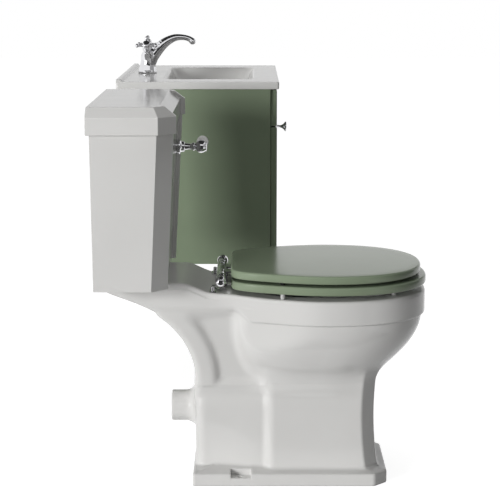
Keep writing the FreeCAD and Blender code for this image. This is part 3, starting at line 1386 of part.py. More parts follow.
def drawer():
    """Drawer box behind a plain front that closes just clear of the cabinet's edges."""
    front_back = "(cabinet_depth + slide_gap)"
    rear_y = f"(drawer_length - {front_back})"
    inner_half = f"({DRAWER_HALF} - drawer_side)"
    floor_top = f"({DRAWER_BASE} + drawer_floor_rise + drawer_floor)"
    side = ("drawer_side", "drawer_length", "drawer_side_height")
    panel_box("drawer_left_side", side, (f"-{DRAWER_HALF}", f"-{front_back}", DRAWER_BASE))
    panel_box("drawer_right_side", side, (inner_half, f"-{front_back}", DRAWER_BASE))
    panel_box("drawer_bottom", (f"2 * {inner_half}", "drawer_length", "drawer_floor"),
              (f"-{inner_half}", f"-{front_back}", f"{DRAWER_BASE} + drawer_floor_rise"))
    panel_box("drawer_back", (f"2 * {inner_half}", "drawer_side",
                              "drawer_side_height - drawer_floor_rise - drawer_floor"),
              (f"-{inner_half}", f"{rear_y} - drawer_side", floor_top))
    face = f"({front_back} + front_panel)"
    board = box("drawer_board", (f"2 * {CABINET_HALF}", "front_panel",
                                 f"{FRONT_SPLIT} - front_gap - {CABINET_BASE}"),
                (f"-{CABINET_HALF}", f"-{face}", CABINET_BASE))

    def on_knob_axis(name, diameter, near, far):
        """A round bar on the knob's axis between two distances out from the wall."""
        return cylinder(name, diameter, f"({far}) - ({near})", ("0", f"-({far})", KNOB_Z), "Y")

    hole = on_knob_axis("drawer_hole", "knob_screw + screw_gap", front_back, face)
    keep(cut("drawer_front", board, [hole]), "drawer_front", VANITY)
    bite = f"({face} + knob_screw_bite)"
    knob = turned("knob_turned", [("0", "0"), ("knob_base / 2", "0"), ("knob_base / 2", "knob_lip / 2"),
                                  ("knob_waist / 2", "knob_reach * 0.38"),
                                  ("knob_waist / 2", "knob_reach * 0.55"),
                                  ("knob_face / 2", "knob_reach - knob_lip"),
                                  ("knob_face / 2", "knob_reach - knob_lip / 4"),
                                  ("knob_face / 2 - knob_lip / 4", "knob_reach"), ("0", "knob_reach")], "-Y")
    seat(knob, "0", f"-{face}", KNOB_Z)
    socket = on_knob_axis("knob_socket", "knob_screw + screw_gap", face, f"{bite} + screw_gap")
    keep(cut("drawer_knob", knob, [socket]), "drawer_knob", VANITY)
    shank = on_knob_axis("knob_shank", "knob_screw", front_back, bite)
    head = on_knob_axis("knob_head", "knob_screw_head", f"{front_back} - knob_screw_head_height", front_back)
    keep(fuse("knob_screw_solid", [shank, head]), "knob_screw", VANITY)


for make in (toilet_pan, cistern_tank, cistern_lid, coupling, siphon, fill_valve, flush_lever, seat_ring,
             seat_lid, seat_buffers, hinge_bar, hinge_brackets, basin, waste, bottle_trap, tap, cabinet,
             runners, drawer):
    make()
doc.recompute()

for item in doc.Objects:
    if "Invalid" in item.State or "Error" in item.State:
        raise RuntimeError(f"{item.Name} did not build")
for item in parts:
    if item.Shape.isNull() or not item.Shape.isValid():
        raise RuntimeError(f"{item.Label} is not a sound shape")

os.makedirs("parts", exist_ok=True)
for item in parts:
    item.Shape.exportStep(f"parts/{item.Label}.step")
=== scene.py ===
import json
import math
import bmesh
import bpy
import numpy as np
from mathutils import Matrix, Vector


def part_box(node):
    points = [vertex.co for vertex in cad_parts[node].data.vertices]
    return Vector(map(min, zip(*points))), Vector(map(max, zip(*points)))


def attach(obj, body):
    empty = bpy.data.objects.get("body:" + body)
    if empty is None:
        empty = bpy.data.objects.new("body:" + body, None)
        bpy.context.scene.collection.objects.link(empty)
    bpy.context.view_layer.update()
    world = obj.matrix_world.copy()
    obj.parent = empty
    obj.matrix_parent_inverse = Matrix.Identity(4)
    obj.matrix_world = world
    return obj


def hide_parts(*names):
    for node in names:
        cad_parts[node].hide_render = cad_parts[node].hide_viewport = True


# Close-coupled toilet beside a wall-hung basin vanity.
# Shapes are drawn in millimetres from the middle of each unit at the wall and floor:
# x across, y towards the wall (fronts are negative), z up.

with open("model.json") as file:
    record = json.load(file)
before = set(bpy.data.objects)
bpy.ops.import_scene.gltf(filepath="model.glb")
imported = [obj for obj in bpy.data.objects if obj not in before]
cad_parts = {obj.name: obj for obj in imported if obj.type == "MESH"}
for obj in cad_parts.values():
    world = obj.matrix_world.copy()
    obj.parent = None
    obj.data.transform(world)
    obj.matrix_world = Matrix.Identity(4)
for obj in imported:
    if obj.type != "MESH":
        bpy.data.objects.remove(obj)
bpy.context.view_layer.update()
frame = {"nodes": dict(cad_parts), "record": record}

MM = 0.001
lid_low, lid_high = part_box("cistern_lid")
basin_low, basin_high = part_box("basin")
WALL_Y = basin_high.y
TOILET = Vector(((lid_low.x + lid_high.x) / 2, WALL_Y, 0))
VANITY = Vector(((basin_low.x + basin_high.x) / 2, WALL_Y, 0))

BODY_OF = {}
for body, members in frame["record"]["behaviour"]["bodies"].items():
    for member in members:
        BODY_OF[member] = body
SLOT_OF = {name: node.data.materials[0].name for name, node in frame["nodes"].items()}

# Sizes that several pieces share
RIM_TOP = 413
RIM_HALF = 180
RIM_BACK = 262
RIM_FRONT = 698
BOWL_WIDEST = 480
DECK_TOP = 439
DECK_HALF = 118
DECK_RISE = 0.46
SPIGOT_Z = 144
SPIGOT_END = 300
INLET_OUT = 85
TANK_TOP = 760
ROUND_POWER = 2.25
SQUARE_POWER = 2.9
OVAL_POINTS = 160
HINGE = (-262.5, 443)
POST_Y = -246
LEVER = (120, 696)
TAP_Y = -57
BASIN_TOP = 811
BOWL_Y = -220
TAP_TILT = math.radians(40)
TAP_ARM_Z = 851
ACROSS = (1, 0, 0)
FORWARD = (0, -1, 0)
UP = (0, 0, 1)


# Materials


def mix_colours(nodes, links, share, first, second):
    """Mixes two colours; sockets 6 and 7 and output 2 are the colour ones of this node."""
    mixer = nodes.new("ShaderNodeMix")
    mixer.data_type = "RGBA"
    mixer.inputs[6].default_value = (*first, 1)
    mixer.inputs[7].default_value = (*second, 1)
    links.new(share, mixer.inputs[0])
    return mixer.outputs[2]


def noise(nodes, links, scale, detail=3.0, stretch=(1, 1, 1)):
    """Noise in object space, stretched along an axis for grain and brushing."""
    place = nodes.new("ShaderNodeTexCoord")
    mapping = nodes.new("ShaderNodeMapping")
    mapping.inputs["Scale"].default_value = stretch
    texture = nodes.new("ShaderNodeTexNoise")
    texture.inputs["Scale"].default_value = scale
    texture.inputs["Detail"].default_value = detail
    links.new(place.outputs["Object"], mapping.inputs["Vector"])
    links.new(mapping.outputs["Vector"], texture.inputs["Vector"])
    return texture.outputs["Fac"]


def spread(nodes, links, value, low, high):
    """Maps the middle of a noise onto a range."""
    noise_low = 0.3
    noise_high = 0.7
    ranger = nodes.new("ShaderNodeMapRange")
    ranger.inputs["From Min"].default_value = noise_low
    ranger.inputs["From Max"].default_value = noise_high
    ranger.inputs["To Min"].default_value = low
    ranger.inputs["To Max"].default_value = high
    links.new(value, ranger.inputs["Value"])
    return ranger.outputs["Result"]


def surface(name, dark, light, rough, metallic=0.0, coat=0.0, patch=5.0, grain=60.0, bump=0.05,
            depth=0.0004, stretch=(1, 1, 1), specular=0.5):
    """A finish whose colour, gloss and bump all vary a little over the piece."""
    material = bpy.data.materials.new(name)
    material.use_nodes = True
    nodes = material.node_tree.nodes
    links = material.node_tree.links
    shader = nodes["Principled BSDF"]
    shader.inputs["Metallic"].default_value = metallic
    shader.inputs["Specular IOR Level"].default_value = specular
    shader.inputs["Coat Weight"].default_value = coat
    shader.inputs["Coat Roughness"].default_value = rough[0] / 2
    patches = spread(nodes, links, noise(nodes, links, patch, 3.0, stretch), 0, 1)
    links.new(mix_colours(nodes, links, patches, dark, light), shader.inputs["Base Color"])
    fine = noise(nodes, links, grain, 4.0, stretch)
    links.new(spread(nodes, links, fine, *rough), shader.inputs["Roughness"])
    bumper = nodes.new("ShaderNodeBump")
    bumper.inputs["Strength"].default_value = bump
    bumper.inputs["Distance"].default_value = depth
    links.new(fine, bumper.inputs["Height"])
    links.new(bumper.outputs["Normal"], shader.inputs["Normal"])
    return material


FINISH = {
    "vitreous_china": surface("china_glaze", (0.69, 0.685, 0.67), (0.73, 0.725, 0.71), (0.1, 0.15),
                              patch=4, grain=14, bump=0.012, depth=0.001, specular=0.38),
    "porcelain_grip": surface("grip_glaze", (0.86, 0.85, 0.83), (0.9, 0.89, 0.87), (0.06, 0.1),
                              patch=30, grain=120, bump=0.04),
    "painted_timber": surface("green_paint", (0.225, 0.28, 0.19), (0.245, 0.302, 0.206), (0.15, 0.2),
                              patch=6, grain=420, bump=0.015, depth=0.0003, specular=0.3),
    "drawer_board": surface("birch_board", (0.5, 0.38, 0.24), (0.64, 0.52, 0.36), (0.42, 0.55),
                            patch=14, grain=90, bump=0.15, stretch=(1, 14, 14)),
    "chrome": surface("chrome", (0.74, 0.74, 0.76), (0.8, 0.8, 0.82), (0.04, 0.08), metallic=1,
                      patch=40, grain=160, bump=0.02),
    "steel": surface("zinc_steel", (0.42, 0.42, 0.43), (0.56, 0.56, 0.57), (0.28, 0.42), metallic=1,
                     patch=60, grain=300, bump=0.1, stretch=(1, 1, 6)),
    "brass": surface("brass", (0.6, 0.44, 0.19), (0.7, 0.53, 0.25), (0.2, 0.3), metallic=1, patch=50,
                     grain=260),
    "white_plastic": surface("white_plastic", (0.68, 0.68, 0.67), (0.74, 0.74, 0.73), (0.34, 0.46),
                             patch=25, grain=500, bump=0.1),
    "rubber": surface("black_rubber", (0.012, 0.012, 0.012), (0.022, 0.022, 0.022), (0.55, 0.7),
                      patch=40, grain=600, bump=0.15),
}
BUFFER_FINISH = surface("buffer_plastic", (0.5, 0.5, 0.49), (0.58, 0.58, 0.57), (0.3, 0.4), patch=60,
                        grain=400)


# Mesh building

SHARP_ANGLE = math.radians(38)
BEVEL_ANGLE = math.radians(20)


def shell_mesh(name, shells, origin, turn_outwards=True):
    """Mesh of closed shells, moved from the millimetres of a unit into the scene."""
    points = []
    faces = []
    for shell_points, shell_faces in shells:
        start = len(points)
        points.extend([tuple(point) for point in shell_points])
        faces.extend([tuple(index + start for index in face) for face in shell_faces])
    mesh = bpy.data.meshes.new(name)
    mesh.from_pydata(points, [], faces)
    if turn_outwards:
        work = bmesh.new()
        work.from_mesh(mesh)
        bmesh.ops.recalc_face_normals(work, faces=work.faces)
        work.to_mesh(mesh)
        work.free()
    mesh.transform(Matrix.Translation(origin) @ Matrix.Scale(MM, 4))
    return mesh


def piece(nodes, shells, origin, bevel=0.0, slot=None, material=None, normals=None, flatten=False):
    """One visible piece made of closed shells, which stands for the named nodes."""
    name = f"{nodes[0]}_shape"
    mesh = shell_mesh(name, shells, origin, normals is None)
    mesh.shade_smooth()
    if normals is not None:
        mesh.normals_split_custom_set_from_vertices(normals)
    elif not bevel:
        mesh.set_sharp_from_angle(angle=SHARP_ANGLE)
    slot = slot or SLOT_OF[nodes[0]]
    mesh.materials.append(material or FINISH[slot])
    item = bpy.data.objects.new(name, mesh)
    bpy.context.scene.collection.objects.link(item)
    if bevel:
        rounding = item.modifiers.new("edges", "BEVEL")
        rounding.width = bevel * MM
        rounding.segments = 3
        rounding.limit_method = "ANGLE"
        rounding.angle_limit = BEVEL_ANGLE
        rounding.harden_normals = True
    if flatten:
        item.modifiers.new("flat_faces", "WEIGHTED_NORMAL").keep_sharp = True
    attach(item, BODY_OF[nodes[0]])
    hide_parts(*nodes)
    return item


def loft(rings, closed=False):
    """Skin over rings of equal point counts, capped at both ends or joined end to end."""
    count = len(rings[0])
    points = [point for ring in rings for point in ring]
    faces = []
    for ring in range(len(rings) if closed else len(rings) - 1):
        after = (ring + 1) % len(rings)
        for index in range(count):
            following = (index + 1) % count
            faces.append((ring * count + index, ring * count + following,
                          after * count + following, after * count + index))
    if not closed:
        faces.append(tuple(range(count)))
        faces.append(tuple(range((len(rings) - 1) * count, len(rings) * count)))
    return points, faces


def lathe(profile, foot, axis, count=40, closed=False):
    """Round shell from (distance along, radius) pairs."""
    along = Vector(axis).normalized()
    side = along.orthogonal().normalized()
    other = along.cross(side)
    rings = []
    for distance, radius in profile:
        centre = Vector(foot) + along * distance
        ring = []
        for index in range(count):
            angle = 2 * math.pi * index / count
            ring.append(centre + (side * math.cos(angle) + other * math.sin(angle)) * radius)
        rings.append(ring)
    return loft(rings, closed)


def ball(centre, radius, start=-88, end=88, steps=14):
    """Profile of a ball, or of the part of it between two angles."""
    profile = []
    for step in range(steps + 1):
        angle = math.radians(start + (end - start) * step / steps)
        profile.append((centre + radius * math.sin(angle), radius * math.cos(angle)))
    return profile


def curve(points, steps=6):
    """Points of a smooth curve through the given ones."""
    spots = [np.array(point, float) for point in points]
    spots = [2 * spots[0] - spots[1]] + spots + [2 * spots[-1] - spots[-2]]
    result = []
    for index in range(1, len(spots) - 2):
        before, start, end, after = spots[index - 1:index + 3]
        for step in range(steps):
            t = step / steps
            result.append(0.5 * (2 * start + (end - before) * t
                                 + (2 * before - 5 * start + 4 * end - after) * t ** 2
                                 + (3 * start - before - 3 * end + after) * t ** 3))
    result.append(spots[-2])
    return result


def at_height(outline, z):
    """Outline in plan, lifted to a height."""
    return [(x, y, z) for x, y in outline]


def oval(half, back, front, widest):
    """Outline of an egg shape that is squarer at the wall end."""
    angle = np.linspace(0, 2 * math.pi, OVAL_POINTS, endpoint=False)
    across = np.cos(angle)
    along = np.sin(angle)
    power = 2 / np.where(along > 0, ROUND_POWER, SQUARE_POWER)
    reach = np.where(along > 0, front - widest, widest - back)
    x = np.sign(across) * np.abs(across) ** power * half
    out = np.sign(along) * np.abs(along) ** power * reach + widest
    return np.stack([x, -out], 1)


def inset(outline, distance):
    """Outline moved inwards along its own normals."""
    tangent = np.roll(outline, -1, 0) - np.roll(outline, 1, 0)
    normal = np.stack([tangent[:, 1], -tangent[:, 0]], 1)
    normal /= np.linalg.norm(normal, axis=1)[:, None]
    outward = ((outline - outline.mean(0)) * normal).sum() > 0
    return outline - normal * distance * (1 if outward else -1)


def rounded_edge(low, high, radius, steps=6):
    """Inset and height pairs up a rounded edge."""
    pairs = []
    for start, centre in ((-90, low + radius), (0, high - radius)):
        for step in range(steps + 1):
            angle = math.radians(start + 90 * step / steps)
            pairs.append((radius * (1 - math.cos(angle)), centre + radius * math.sin(angle)))
    return pairs


def rounded_rectangle(length, breadth, corner, middle, arc=8):
    """Outline with round corners; middle is its place towards the wall."""
    points = []
    for quarter, (sx, sy) in enumerate(((1, 1), (-1, 1), (-1, -1), (1, -1))):
        for step in range(arc + 1):
            angle = math.pi / 2 * (quarter + step / arc)
            points.append((sx * (length / 2 - corner) + corner * math.cos(angle),
                           middle + sy * (breadth / 2 - corner) + corner * math.sin(angle)))
    return points


def block(low, high):
    """Eight-cornered shell, for panels whose edges are rounded afterwards."""
    rings = []
    for z in (low[2], high[2]):
        rings.append([(low[0], low[1], z), (high[0], low[1], z), (high[0], high[1], z),
                      (low[0], high[1], z)])
    return loft(rings)


# Blended castings, drawn as a distance field and skinned


def smooth_min(first, second, width):
    """Joins two shapes with a fillet of about the given width."""
    overlap = np.maximum(width - np.abs(first - second), 0) / width
    return np.minimum(first, second) - overlap * overlap * width / 4


def smooth_max(first, second, width):
    """Keeps what two shapes share, with an edge rounded over about the given width."""
    return -smooth_min(-first, -second, width)


def slope_of(field, points, reach=0.4):
    """Steepest rise of a field at each point."""
    slopes = []
    for axis in range(3):
        shift = np.zeros(3)
        shift[axis] = reach
        slopes.append((field(*(points + shift).T) - field(*(points - shift).T)) / (2 * reach))
    return np.stack(slopes, 1)


def skin(field, low, high, step):
    """Points, quads and normals of the surface on which a distance field is zero."""
    low = np.array(low, float)
    axes = [np.arange(start, end + step, step) for start, end in zip(low, high)]
    inside = field(*np.meshgrid(*axes, indexing="ij")) < 0
    size = np.array(inside.shape) - 1
    count = np.zeros(size, int)
    for corner in np.ndindex(2, 2, 2):
        count += inside[tuple(slice(start, start + length) for start, length in zip(corner, size))]
    crossed = (count > 0) & (count < 8)
    number = np.full(size, -1)
    number[crossed] = np.arange(crossed.sum())
    points = low + (np.argwhere(crossed) + 0.5) * step
    quads = []
    for axis in range(3):
        second, third = (axis + 1) % 3, (axis + 2) % 3
        before = np.take(inside, range(size[axis]), axis)
        after = np.take(inside, range(1, size[axis] + 1), axis)
        spots = np.argwhere(before != after)
        around = []
        for back in ((0, 0), (1, 0), (1, 1), (0, 1)):
            cell = spots.copy()
            cell[:, second] -= back[0]
            cell[:, third] -= back[1]
            around.append(number[tuple(cell.T)])
        faces = np.stack(around, 1)
        leaving = before[tuple(spots.T)]
        quads.append(np.where(leaving[:, None], faces, faces[:, ::-1]))
    passes = 5
    least_slope = 0.05
    for _ in range(passes):
        slope = slope_of(field, points)
        move = field(*points.T) / np.maximum((slope ** 2).sum(1), least_slope)
        points -= np.clip(move, -step, step)[:, None] * slope
    normals = slope_of(field, points)
    normals /= np.linalg.norm(normals, axis=1)[:, None]
    return points, np.concatenate(quads), normals


def blended_piece(nodes, field, low, high, step, origin):
    """Piece whose skin is where a field is zero, looked for between two corners."""
    points, quads, normals = skin(field, low, high, step)
    return piece(nodes, [(points.tolist(), quads.tolist())], origin, normals=normals)


def oval_gap(x, out, half, back, front, widest):
    """Distance in plan from an oval outline."""
    ahead = out > widest
    reach = np.where(ahead, front - widest, widest - back)
    power = np.where(ahead, ROUND_POWER, SQUARE_POWER)
    u = np.abs(x) / half
    v = np.abs(out - widest) / reach
    u_slope = u ** (power - 1)
    v_slope = v ** (power - 1)
    total = np.maximum(u_slope * u + v_slope * v, 1e-6)
    size = total ** (1 / power)
    slope = np.hypot(u_slope / half, v_slope / reach) * size / total
    return (size - 1) / np.maximum(slope, 1e-4)


def ease(value, start, end):
    """Nought before start, one after end, and a smooth rise between."""
    share = np.clip((value - start) / (end - start), 0, 1)
    return share * share * (3 - 2 * share)


def between(low, high, share):
    """Value a share of the way from low to high."""
    return low + (high - low) * share


def rim_gap(x, out):
    """Distance in plan from the rim, which is round in front and tapers back to the deck."""
    taper_start = 230
    taper = BOWL_WIDEST - taper_start
    front = oval_gap(x, out, RIM_HALF, RIM_BACK, RIM_FRONT, BOWL_WIDEST)
    share = np.clip((out - taper_start) / taper, 0, 1)
    half = between(DECK_HALF, RIM_HALF, ease(out, taper_start, BOWL_WIDEST))
    slope = (RIM_HALF - DECK_HALF) * 6 * share * (1 - share) / taper
    return np.where(out > BOWL_WIDEST, front, (x - half) / np.sqrt(1 + slope ** 2))


def pan_bowl_outside(x, out, z):
    """Outside of the bowl, which swells from the pedestal up to the rim."""
    bottom = 208
    top = 385
    swell_start = 218
    swell_height = 143
    inside_rim = 4
    share = np.sin(np.clip((z - swell_start) / swell_height, 0, 1) * math.pi / 2)
    half = between(95, 176, share)
    back = between(306, 274, share)
    front = between(586, 691, share)
    widest = between(472, BOWL_WIDEST, share)
    bowl = oval_gap(x, out, half, back, front, widest)
    bowl = smooth_max(bowl, bottom - z, 12)
    bowl = smooth_max(bowl, rim_gap(x, out) + inside_rim, 6)
    return np.maximum(bowl, z - top)


def pan_arch(out, z):
    """Distance from the hollow under the deck behind the web, negative in the hollow."""
    centre_out = 16
    centre_z = 221
    length = 196
    height = 185
    slant_out = 113
    slant_z = 381
    slant_end = 125
    u = np.maximum(out - centre_out, 0) / length
    v = np.maximum(z - centre_z, 0) / height
    size = np.maximum(np.hypot(u, v), 1e-3)
    arch = (size - 1) * size / np.maximum(np.hypot(u / length, v / height), 1e-5)
    slant = (z - slant_z - DECK_RISE * (slant_out - out)) / math.sqrt(1 + DECK_RISE ** 2)
    return smooth_min(arch, np.maximum(slant, out - slant_end), 16)


def deck_height(out):
    """Top of the pan: level under the tank, then falling in a long curve to the rim."""
    tail = 5
    fall = DECK_TOP - RIM_TOP - tail
    gentle_part = 1 - ease(out, 230, 380)
    steep_part = 1 - ease(out, 180, 248)
    return RIM_TOP + tail * gentle_part + fall * steep_part


def pan_top(x, out, z):
    """Deck and rim as one slab, whose lower edge is soft at the wall end and crisp in front."""
    rear = 20
    deck_underside = 384
    rim_underside = 361
    underside_slope = 0.4
    rise_start = 130
    crisp = ease(out, 288, 335)
    slab = smooth_max(rim_gap(x, out), z - deck_height(out), 8)
    slab = smooth_max(slab, rear - out, 10)
    slope = between(underside_slope, 0, crisp)
    lowest = between(deck_underside, rim_underside, crisp) + DECK_RISE * np.maximum(rise_start - out, 0)
    under = lowest - z - slope * np.maximum(DECK_HALF - x, 0)
    slab = smooth_max(slab, under / np.sqrt(1 + slope ** 2), between(10, 4, crisp))
    return smooth_max(slab, -pan_arch(out, z), 10)


def pan_web(x, out, z):
    """Side of the pan behind the bowl: a border along the arch and under the deck, and a sunk panel."""
    low_half = 88
    sunk = 9
    border_width = 40
    panel_bottom = 216
    panel_top = 374
    bottom = 120
    below_deck = 14
    rear = 26
    front = 350
    fade_start = 212
    fade_slope = 0.6
    arch = pan_arch(out, z)
    half = between(low_half, DECK_HALF, ease(z, 190, 400)) - fade_slope * np.maximum(fade_start - z, 0)
    heights = np.maximum(bottom - z, z - deck_height(out) + below_deck)
    ends = np.maximum(heights, np.maximum(rear - out, out - front))
    panel = smooth_max(smooth_max(border_width - arch, z - panel_top, 30), panel_bottom - z, 12)
    web = smooth_max(x - half + sunk, -arch, 10)
    border = smooth_max(smooth_max(x - half, -panel, 14), -arch, 14)
    return np.maximum(smooth_min(web, border, 16), ends)


def pan_rear_block(x, out, z):
    """Rear half of the pedestal, which ends in a sloped ledge under the panel."""
    upper_half = 88
    rear = 207
    front = 420
    ledge_z = 190
    ledge_across = 46
    ledge_up = 40
    ledge_length = 61
    foot_half = between(72, 86, ease(out, 205, 345))
    half = between(foot_half, upper_half, ease(z, 30, 160))
    ledge = ((x - half) * ledge_across + (z - ledge_z) * ledge_up) / ledge_length
    side = smooth_max(x - half, rear - out, 24)
    side = smooth_max(side, ledge, 22)
    return np.maximum(side, np.maximum(out - front, -z))


def pan_front_block(x, out, z):
    """Front half of the pedestal, a little waisted, with chamfered front corners."""
    half = 98
    rear = 357
    top = 238
    chamfer = 70
    waist_z = 150
    waist_reach = 588
    flare = 8
    flare_height = 110
    reach = waist_reach + flare * ((z - waist_z) / flare_height) ** 2
    side = smooth_max(x - half, out - reach, 4)
    side = smooth_max(side, (x + out - reach - chamfer) / math.sqrt(2), 3)
    side = smooth_max(side, rear - out, 20)
    side = smooth_max(side, z - top, 10)
    return np.maximum(side, -z)


def pan_foot(x, out, z):
    """Foot with chamfered corners and a sloped top; each side has a notch and a hole for a screw."""
    half = 121
    front = 616
    rear = 202
    corner = 709
    thickness = 26
    fall = 0.2
    notch_x = 97
    notch_out = 304
    notch_half = 21
    notch_bottom = 17
    hole_x = 109
    hole_out = 302
    hole_radius = 4
    side = smooth_max(x - half, out - front, 3)
    side = smooth_max(side, (x + out - corner) / math.sqrt(2), 4)
    side = smooth_max(side, rear - out, 5)
    foot = smooth_max(side, z - thickness + fall * side, 3)
    notch = np.maximum(np.maximum(notch_x - x, np.abs(out - notch_out) - notch_half), notch_bottom - z)
    hole = np.hypot(x - hole_x, out - hole_out) - hole_radius
    return smooth_max(smooth_max(foot, -notch, 2), -hole, 1)


def pan_bowl_inside(x, out, z):
    """Hollow of the bowl and the drain that leads back from its bottom."""
    top = 373
    bottom = 185
    drain_radius = 25
    drain_out = 430
    drain_z = 206
    drain_length = 100
    drain_rise = 16
    depth = np.clip((top - z) / (top - bottom), 0, 1)
    share = np.cos(depth * math.pi / 2)
    half = between(38, 128, share)
    back = between(388, 335, share)
    front = between(458, 645, share)
    widest = between(423, BOWL_WIDEST, share)
    bowl = oval_gap(x, out, half, back, front, widest)
    bowl = smooth_max(bowl, bottom - z, 20)
    along = np.clip((drain_out - out) / drain_length, 0, 1)
    behind = out - drain_out + drain_length * along
    above = z - drain_z - drain_rise * along
    drain = np.sqrt(x ** 2 + behind ** 2 + above ** 2) - drain_radius
    return smooth_min(bowl, drain, 12)


def pan_hollows(x, out, z):
    """Bowl, soil bore, inlet, bolt pockets and the room under the pedestal."""
    soil_radius = 25
    inlet_radius = 22
    inlet_bottom = 395
    room_half = 56
    room_out = 384
    room_reach = 150
    room_top = 105
    room_bottom = -30
    pocket_x = 75
    pocket_radius = 18
    pocket_top = 409
    soil = np.maximum(np.hypot(x, z - SPIGOT_Z) - soil_radius, out - SPIGOT_END)
    inlet = np.maximum(np.hypot(x, out - INLET_OUT) - inlet_radius, inlet_bottom - z)
    room = np.maximum(x - room_half, np.abs(out - room_out) - room_reach)
    room = smooth_max(room, z - room_top, 12)
    room = np.maximum(room, room_bottom - z)
    pocket = np.maximum(np.hypot(x - pocket_x, out - INLET_OUT) - pocket_radius, z - pocket_top)
    shape = np.minimum(np.minimum(pan_bowl_inside(x, out, z), soil), np.minimum(inlet, room))
    return np.minimum(shape, pocket)


def pan_field(x, y, z):
    """The whole pan, which is the same on both sides."""
    spigot_radius = 33.5
    spigot_rear = 153
    x = np.abs(x)
    out = -y
    blocks = smooth_min(pan_front_block(x, out, z), pan_rear_block(x, out, z), 10)
    shape = smooth_min(pan_bowl_outside(x, out, z), blocks, 26)
    shape = smooth_min(shape, pan_web(x, out, z), 14)
    shape = smooth_min(shape, pan_top(x, out, z), between(8, 3, ease(out, 308, 360)))
    spigot = smooth_max(np.hypot(x, z - SPIGOT_Z) - spigot_radius, spigot_rear - out, 4)
    spigot = np.maximum(spigot, out - SPIGOT_END)
    shape = smooth_min(shape, spigot, 22)
    shape = smooth_min(shape, pan_foot(x, out, z), 6)
    shape = smooth_max(shape, -pan_hollows(x, out, z), 8)
    return np.maximum(shape, -z)


def toilet_pan():
    """Ceramic pan as one casting."""
    step = 3.2
    low = (-196.8, -712, -8)
    high = (196.8, -8, 452)
    blended_piece(["toilet_pan"], pan_field, low, high, step, TOILET)


# Cistern


def cistern_plan(width, depth, chamfer, recess, back, pilaster=11, turn=4):
    """Outline with chamfered front corners and a front set back between two pilasters."""
    half = width / 2
    shoulder = half - chamfer
    inner = shoulder - pilaster
    right = [(half, -back), (half, chamfer - depth), (shoulder, -depth), (inner, -depth),
             (inner - turn, recess - depth)]
    return right + [(-x, y) for x, y in reversed(right)]


def cistern():
    """Tapered tank with two screw holes in its back, and a lid with a band and a bevelled top."""
    wall = 11
    chamfer = 32
    inner_chamfer = 28
    recess = 8
    back = 7
    floor = 14

    def outside(width, depth, z):
        """Ring of the tank's outside."""
        return at_height(cistern_plan(width, depth, chamfer, recess, back), z)

    def room(width, depth, z):
        """Ring of the space inside a tank of the given outside size."""
        plan = cistern_plan(width - 2 * wall, depth - wall, inner_chamfer, recess, back + wall)
        return at_height(plan, z)

    rings = [outside(411, 156, DECK_TOP), outside(466, 172, TANK_TOP), room(466, 172, TANK_TOP),
             room(413, 157, DECK_TOP + floor)]
    tank = piece(["cistern_tank"], [loft(rings)], TOILET, bevel=3.5)
    screw_hole = [(0, 4), (30, 4)]
    screw_x = 150
    screw_y = -26
    screw_z = TANK_TOP - 60
    carve(tank, [lathe(screw_hole, (x, screw_y, screw_z), (0, 1, 0)) for x in (-screw_x, screw_x)], TOILET)
    hollow_top = TANK_TOP + 23
    band_top = TANK_TOP + 35
    lid_top = TANK_TOP + 54
    lid_recess = 10
    band = cistern_plan(484, 178, 34.5, lid_recess, 0)
    top = cistern_plan(436, 154, 20.4, lid_recess, 0)
    rings = [room(466, 172, hollow_top), room(466, 172, TANK_TOP), at_height(band, TANK_TOP),
             at_height(band, band_top), at_height(top, lid_top)]
    piece(["cistern_lid"], [loft(rings)], TOILET, bevel=2.2)


def carve(item, shells, origin):
    """Cuts round holes out of a piece and keeps the result as its mesh."""
    cutters = []
    for shell in shells:
        cutter = bpy.data.objects.new("cutter", shell_mesh("cutter", [shell], origin))
        bpy.context.scene.collection.objects.link(cutter)
        cut = item.modifiers.new("hole", "BOOLEAN")
        cut.operation = "DIFFERENCE"
        cut.solver = "EXACT"
        cut.object = cutter
        cutters.append(cutter)
    bpy.context.view_layer.update()
    result = bpy.data.meshes.new_from_object(item.evaluated_get(bpy.context.evaluated_depsgraph_get()))
    item.modifiers.clear()
    item.data = result
    for cutter in cutters:
        bpy.data.objects.remove(cutter)


def flush_lever():
    """Rose on the tank with its bush, ball hub with its cap, spindle, arm and ceramic end."""
    hub_at = 216
    hub_radius = 14.4
    foot = (LEVER[0], 0, LEVER[1])
    hub = (LEVER[0], -hub_at, LEVER[1])
    rose = [(158, 15), (163, 15), (164, 16.6), (167, 17), (170, 16.6), (171, 14.5), (173, 12.5),
            (176, 11.5), (179, 11.5), (180, 10.5)]
    bush = [(124, 9.4), (124.6, 10), (160, 10)]
    piece(["lever_rose"], [lathe(rose, foot, FORWARD), lathe(bush, foot, FORWARD)], TOILET)
    neck = [(180.3, 7.5), (184, 7.5), (188, 6.2), (194, 6.2), (197, 8), (199, 9.4), (200.5, 9.4),
            (202, 8.4)]
    neck += ball(hub_at, hub_radius, -66, 40)
    neck += [(226, 10.6), (227.4, 10.8), (228, 9.4), (228.6, 8.4), (229, 5), (229.2, 0.4)]
    arm = [(8, 5.6), (14.5, 5.6), (15.5, 7.2), (18, 7.2), (19, 5), (24, 4), (60, 4), (63, 5.5), (66, 7),
           (68, 7), (69, 6.2)]
    spindle = [(79, 5.4), (79.6, 6), (182, 6)]
    shells = [lathe(neck, foot, FORWARD), lathe(arm, hub, ACROSS), lathe(spindle, foot, FORWARD)]
    piece(["lever_handle"], shells, TOILET)
    knob = curve([(69, 6), (71, 8.2), (80, 12.6), (92, 14), (103, 12), (109, 7.4), (111, 0.6)], 5)
    piece(["lever_knob"], [lathe(knob, hub, ACROSS)], TOILET)


# Seat, its lid and the bar hinge

SEAT_HALF = 184
SEAT_BACK = 283
SEAT_FRONT = 699
SEAT_WIDEST = 485
SEAT_TAPER = 60
SEAT_POINTS = 240


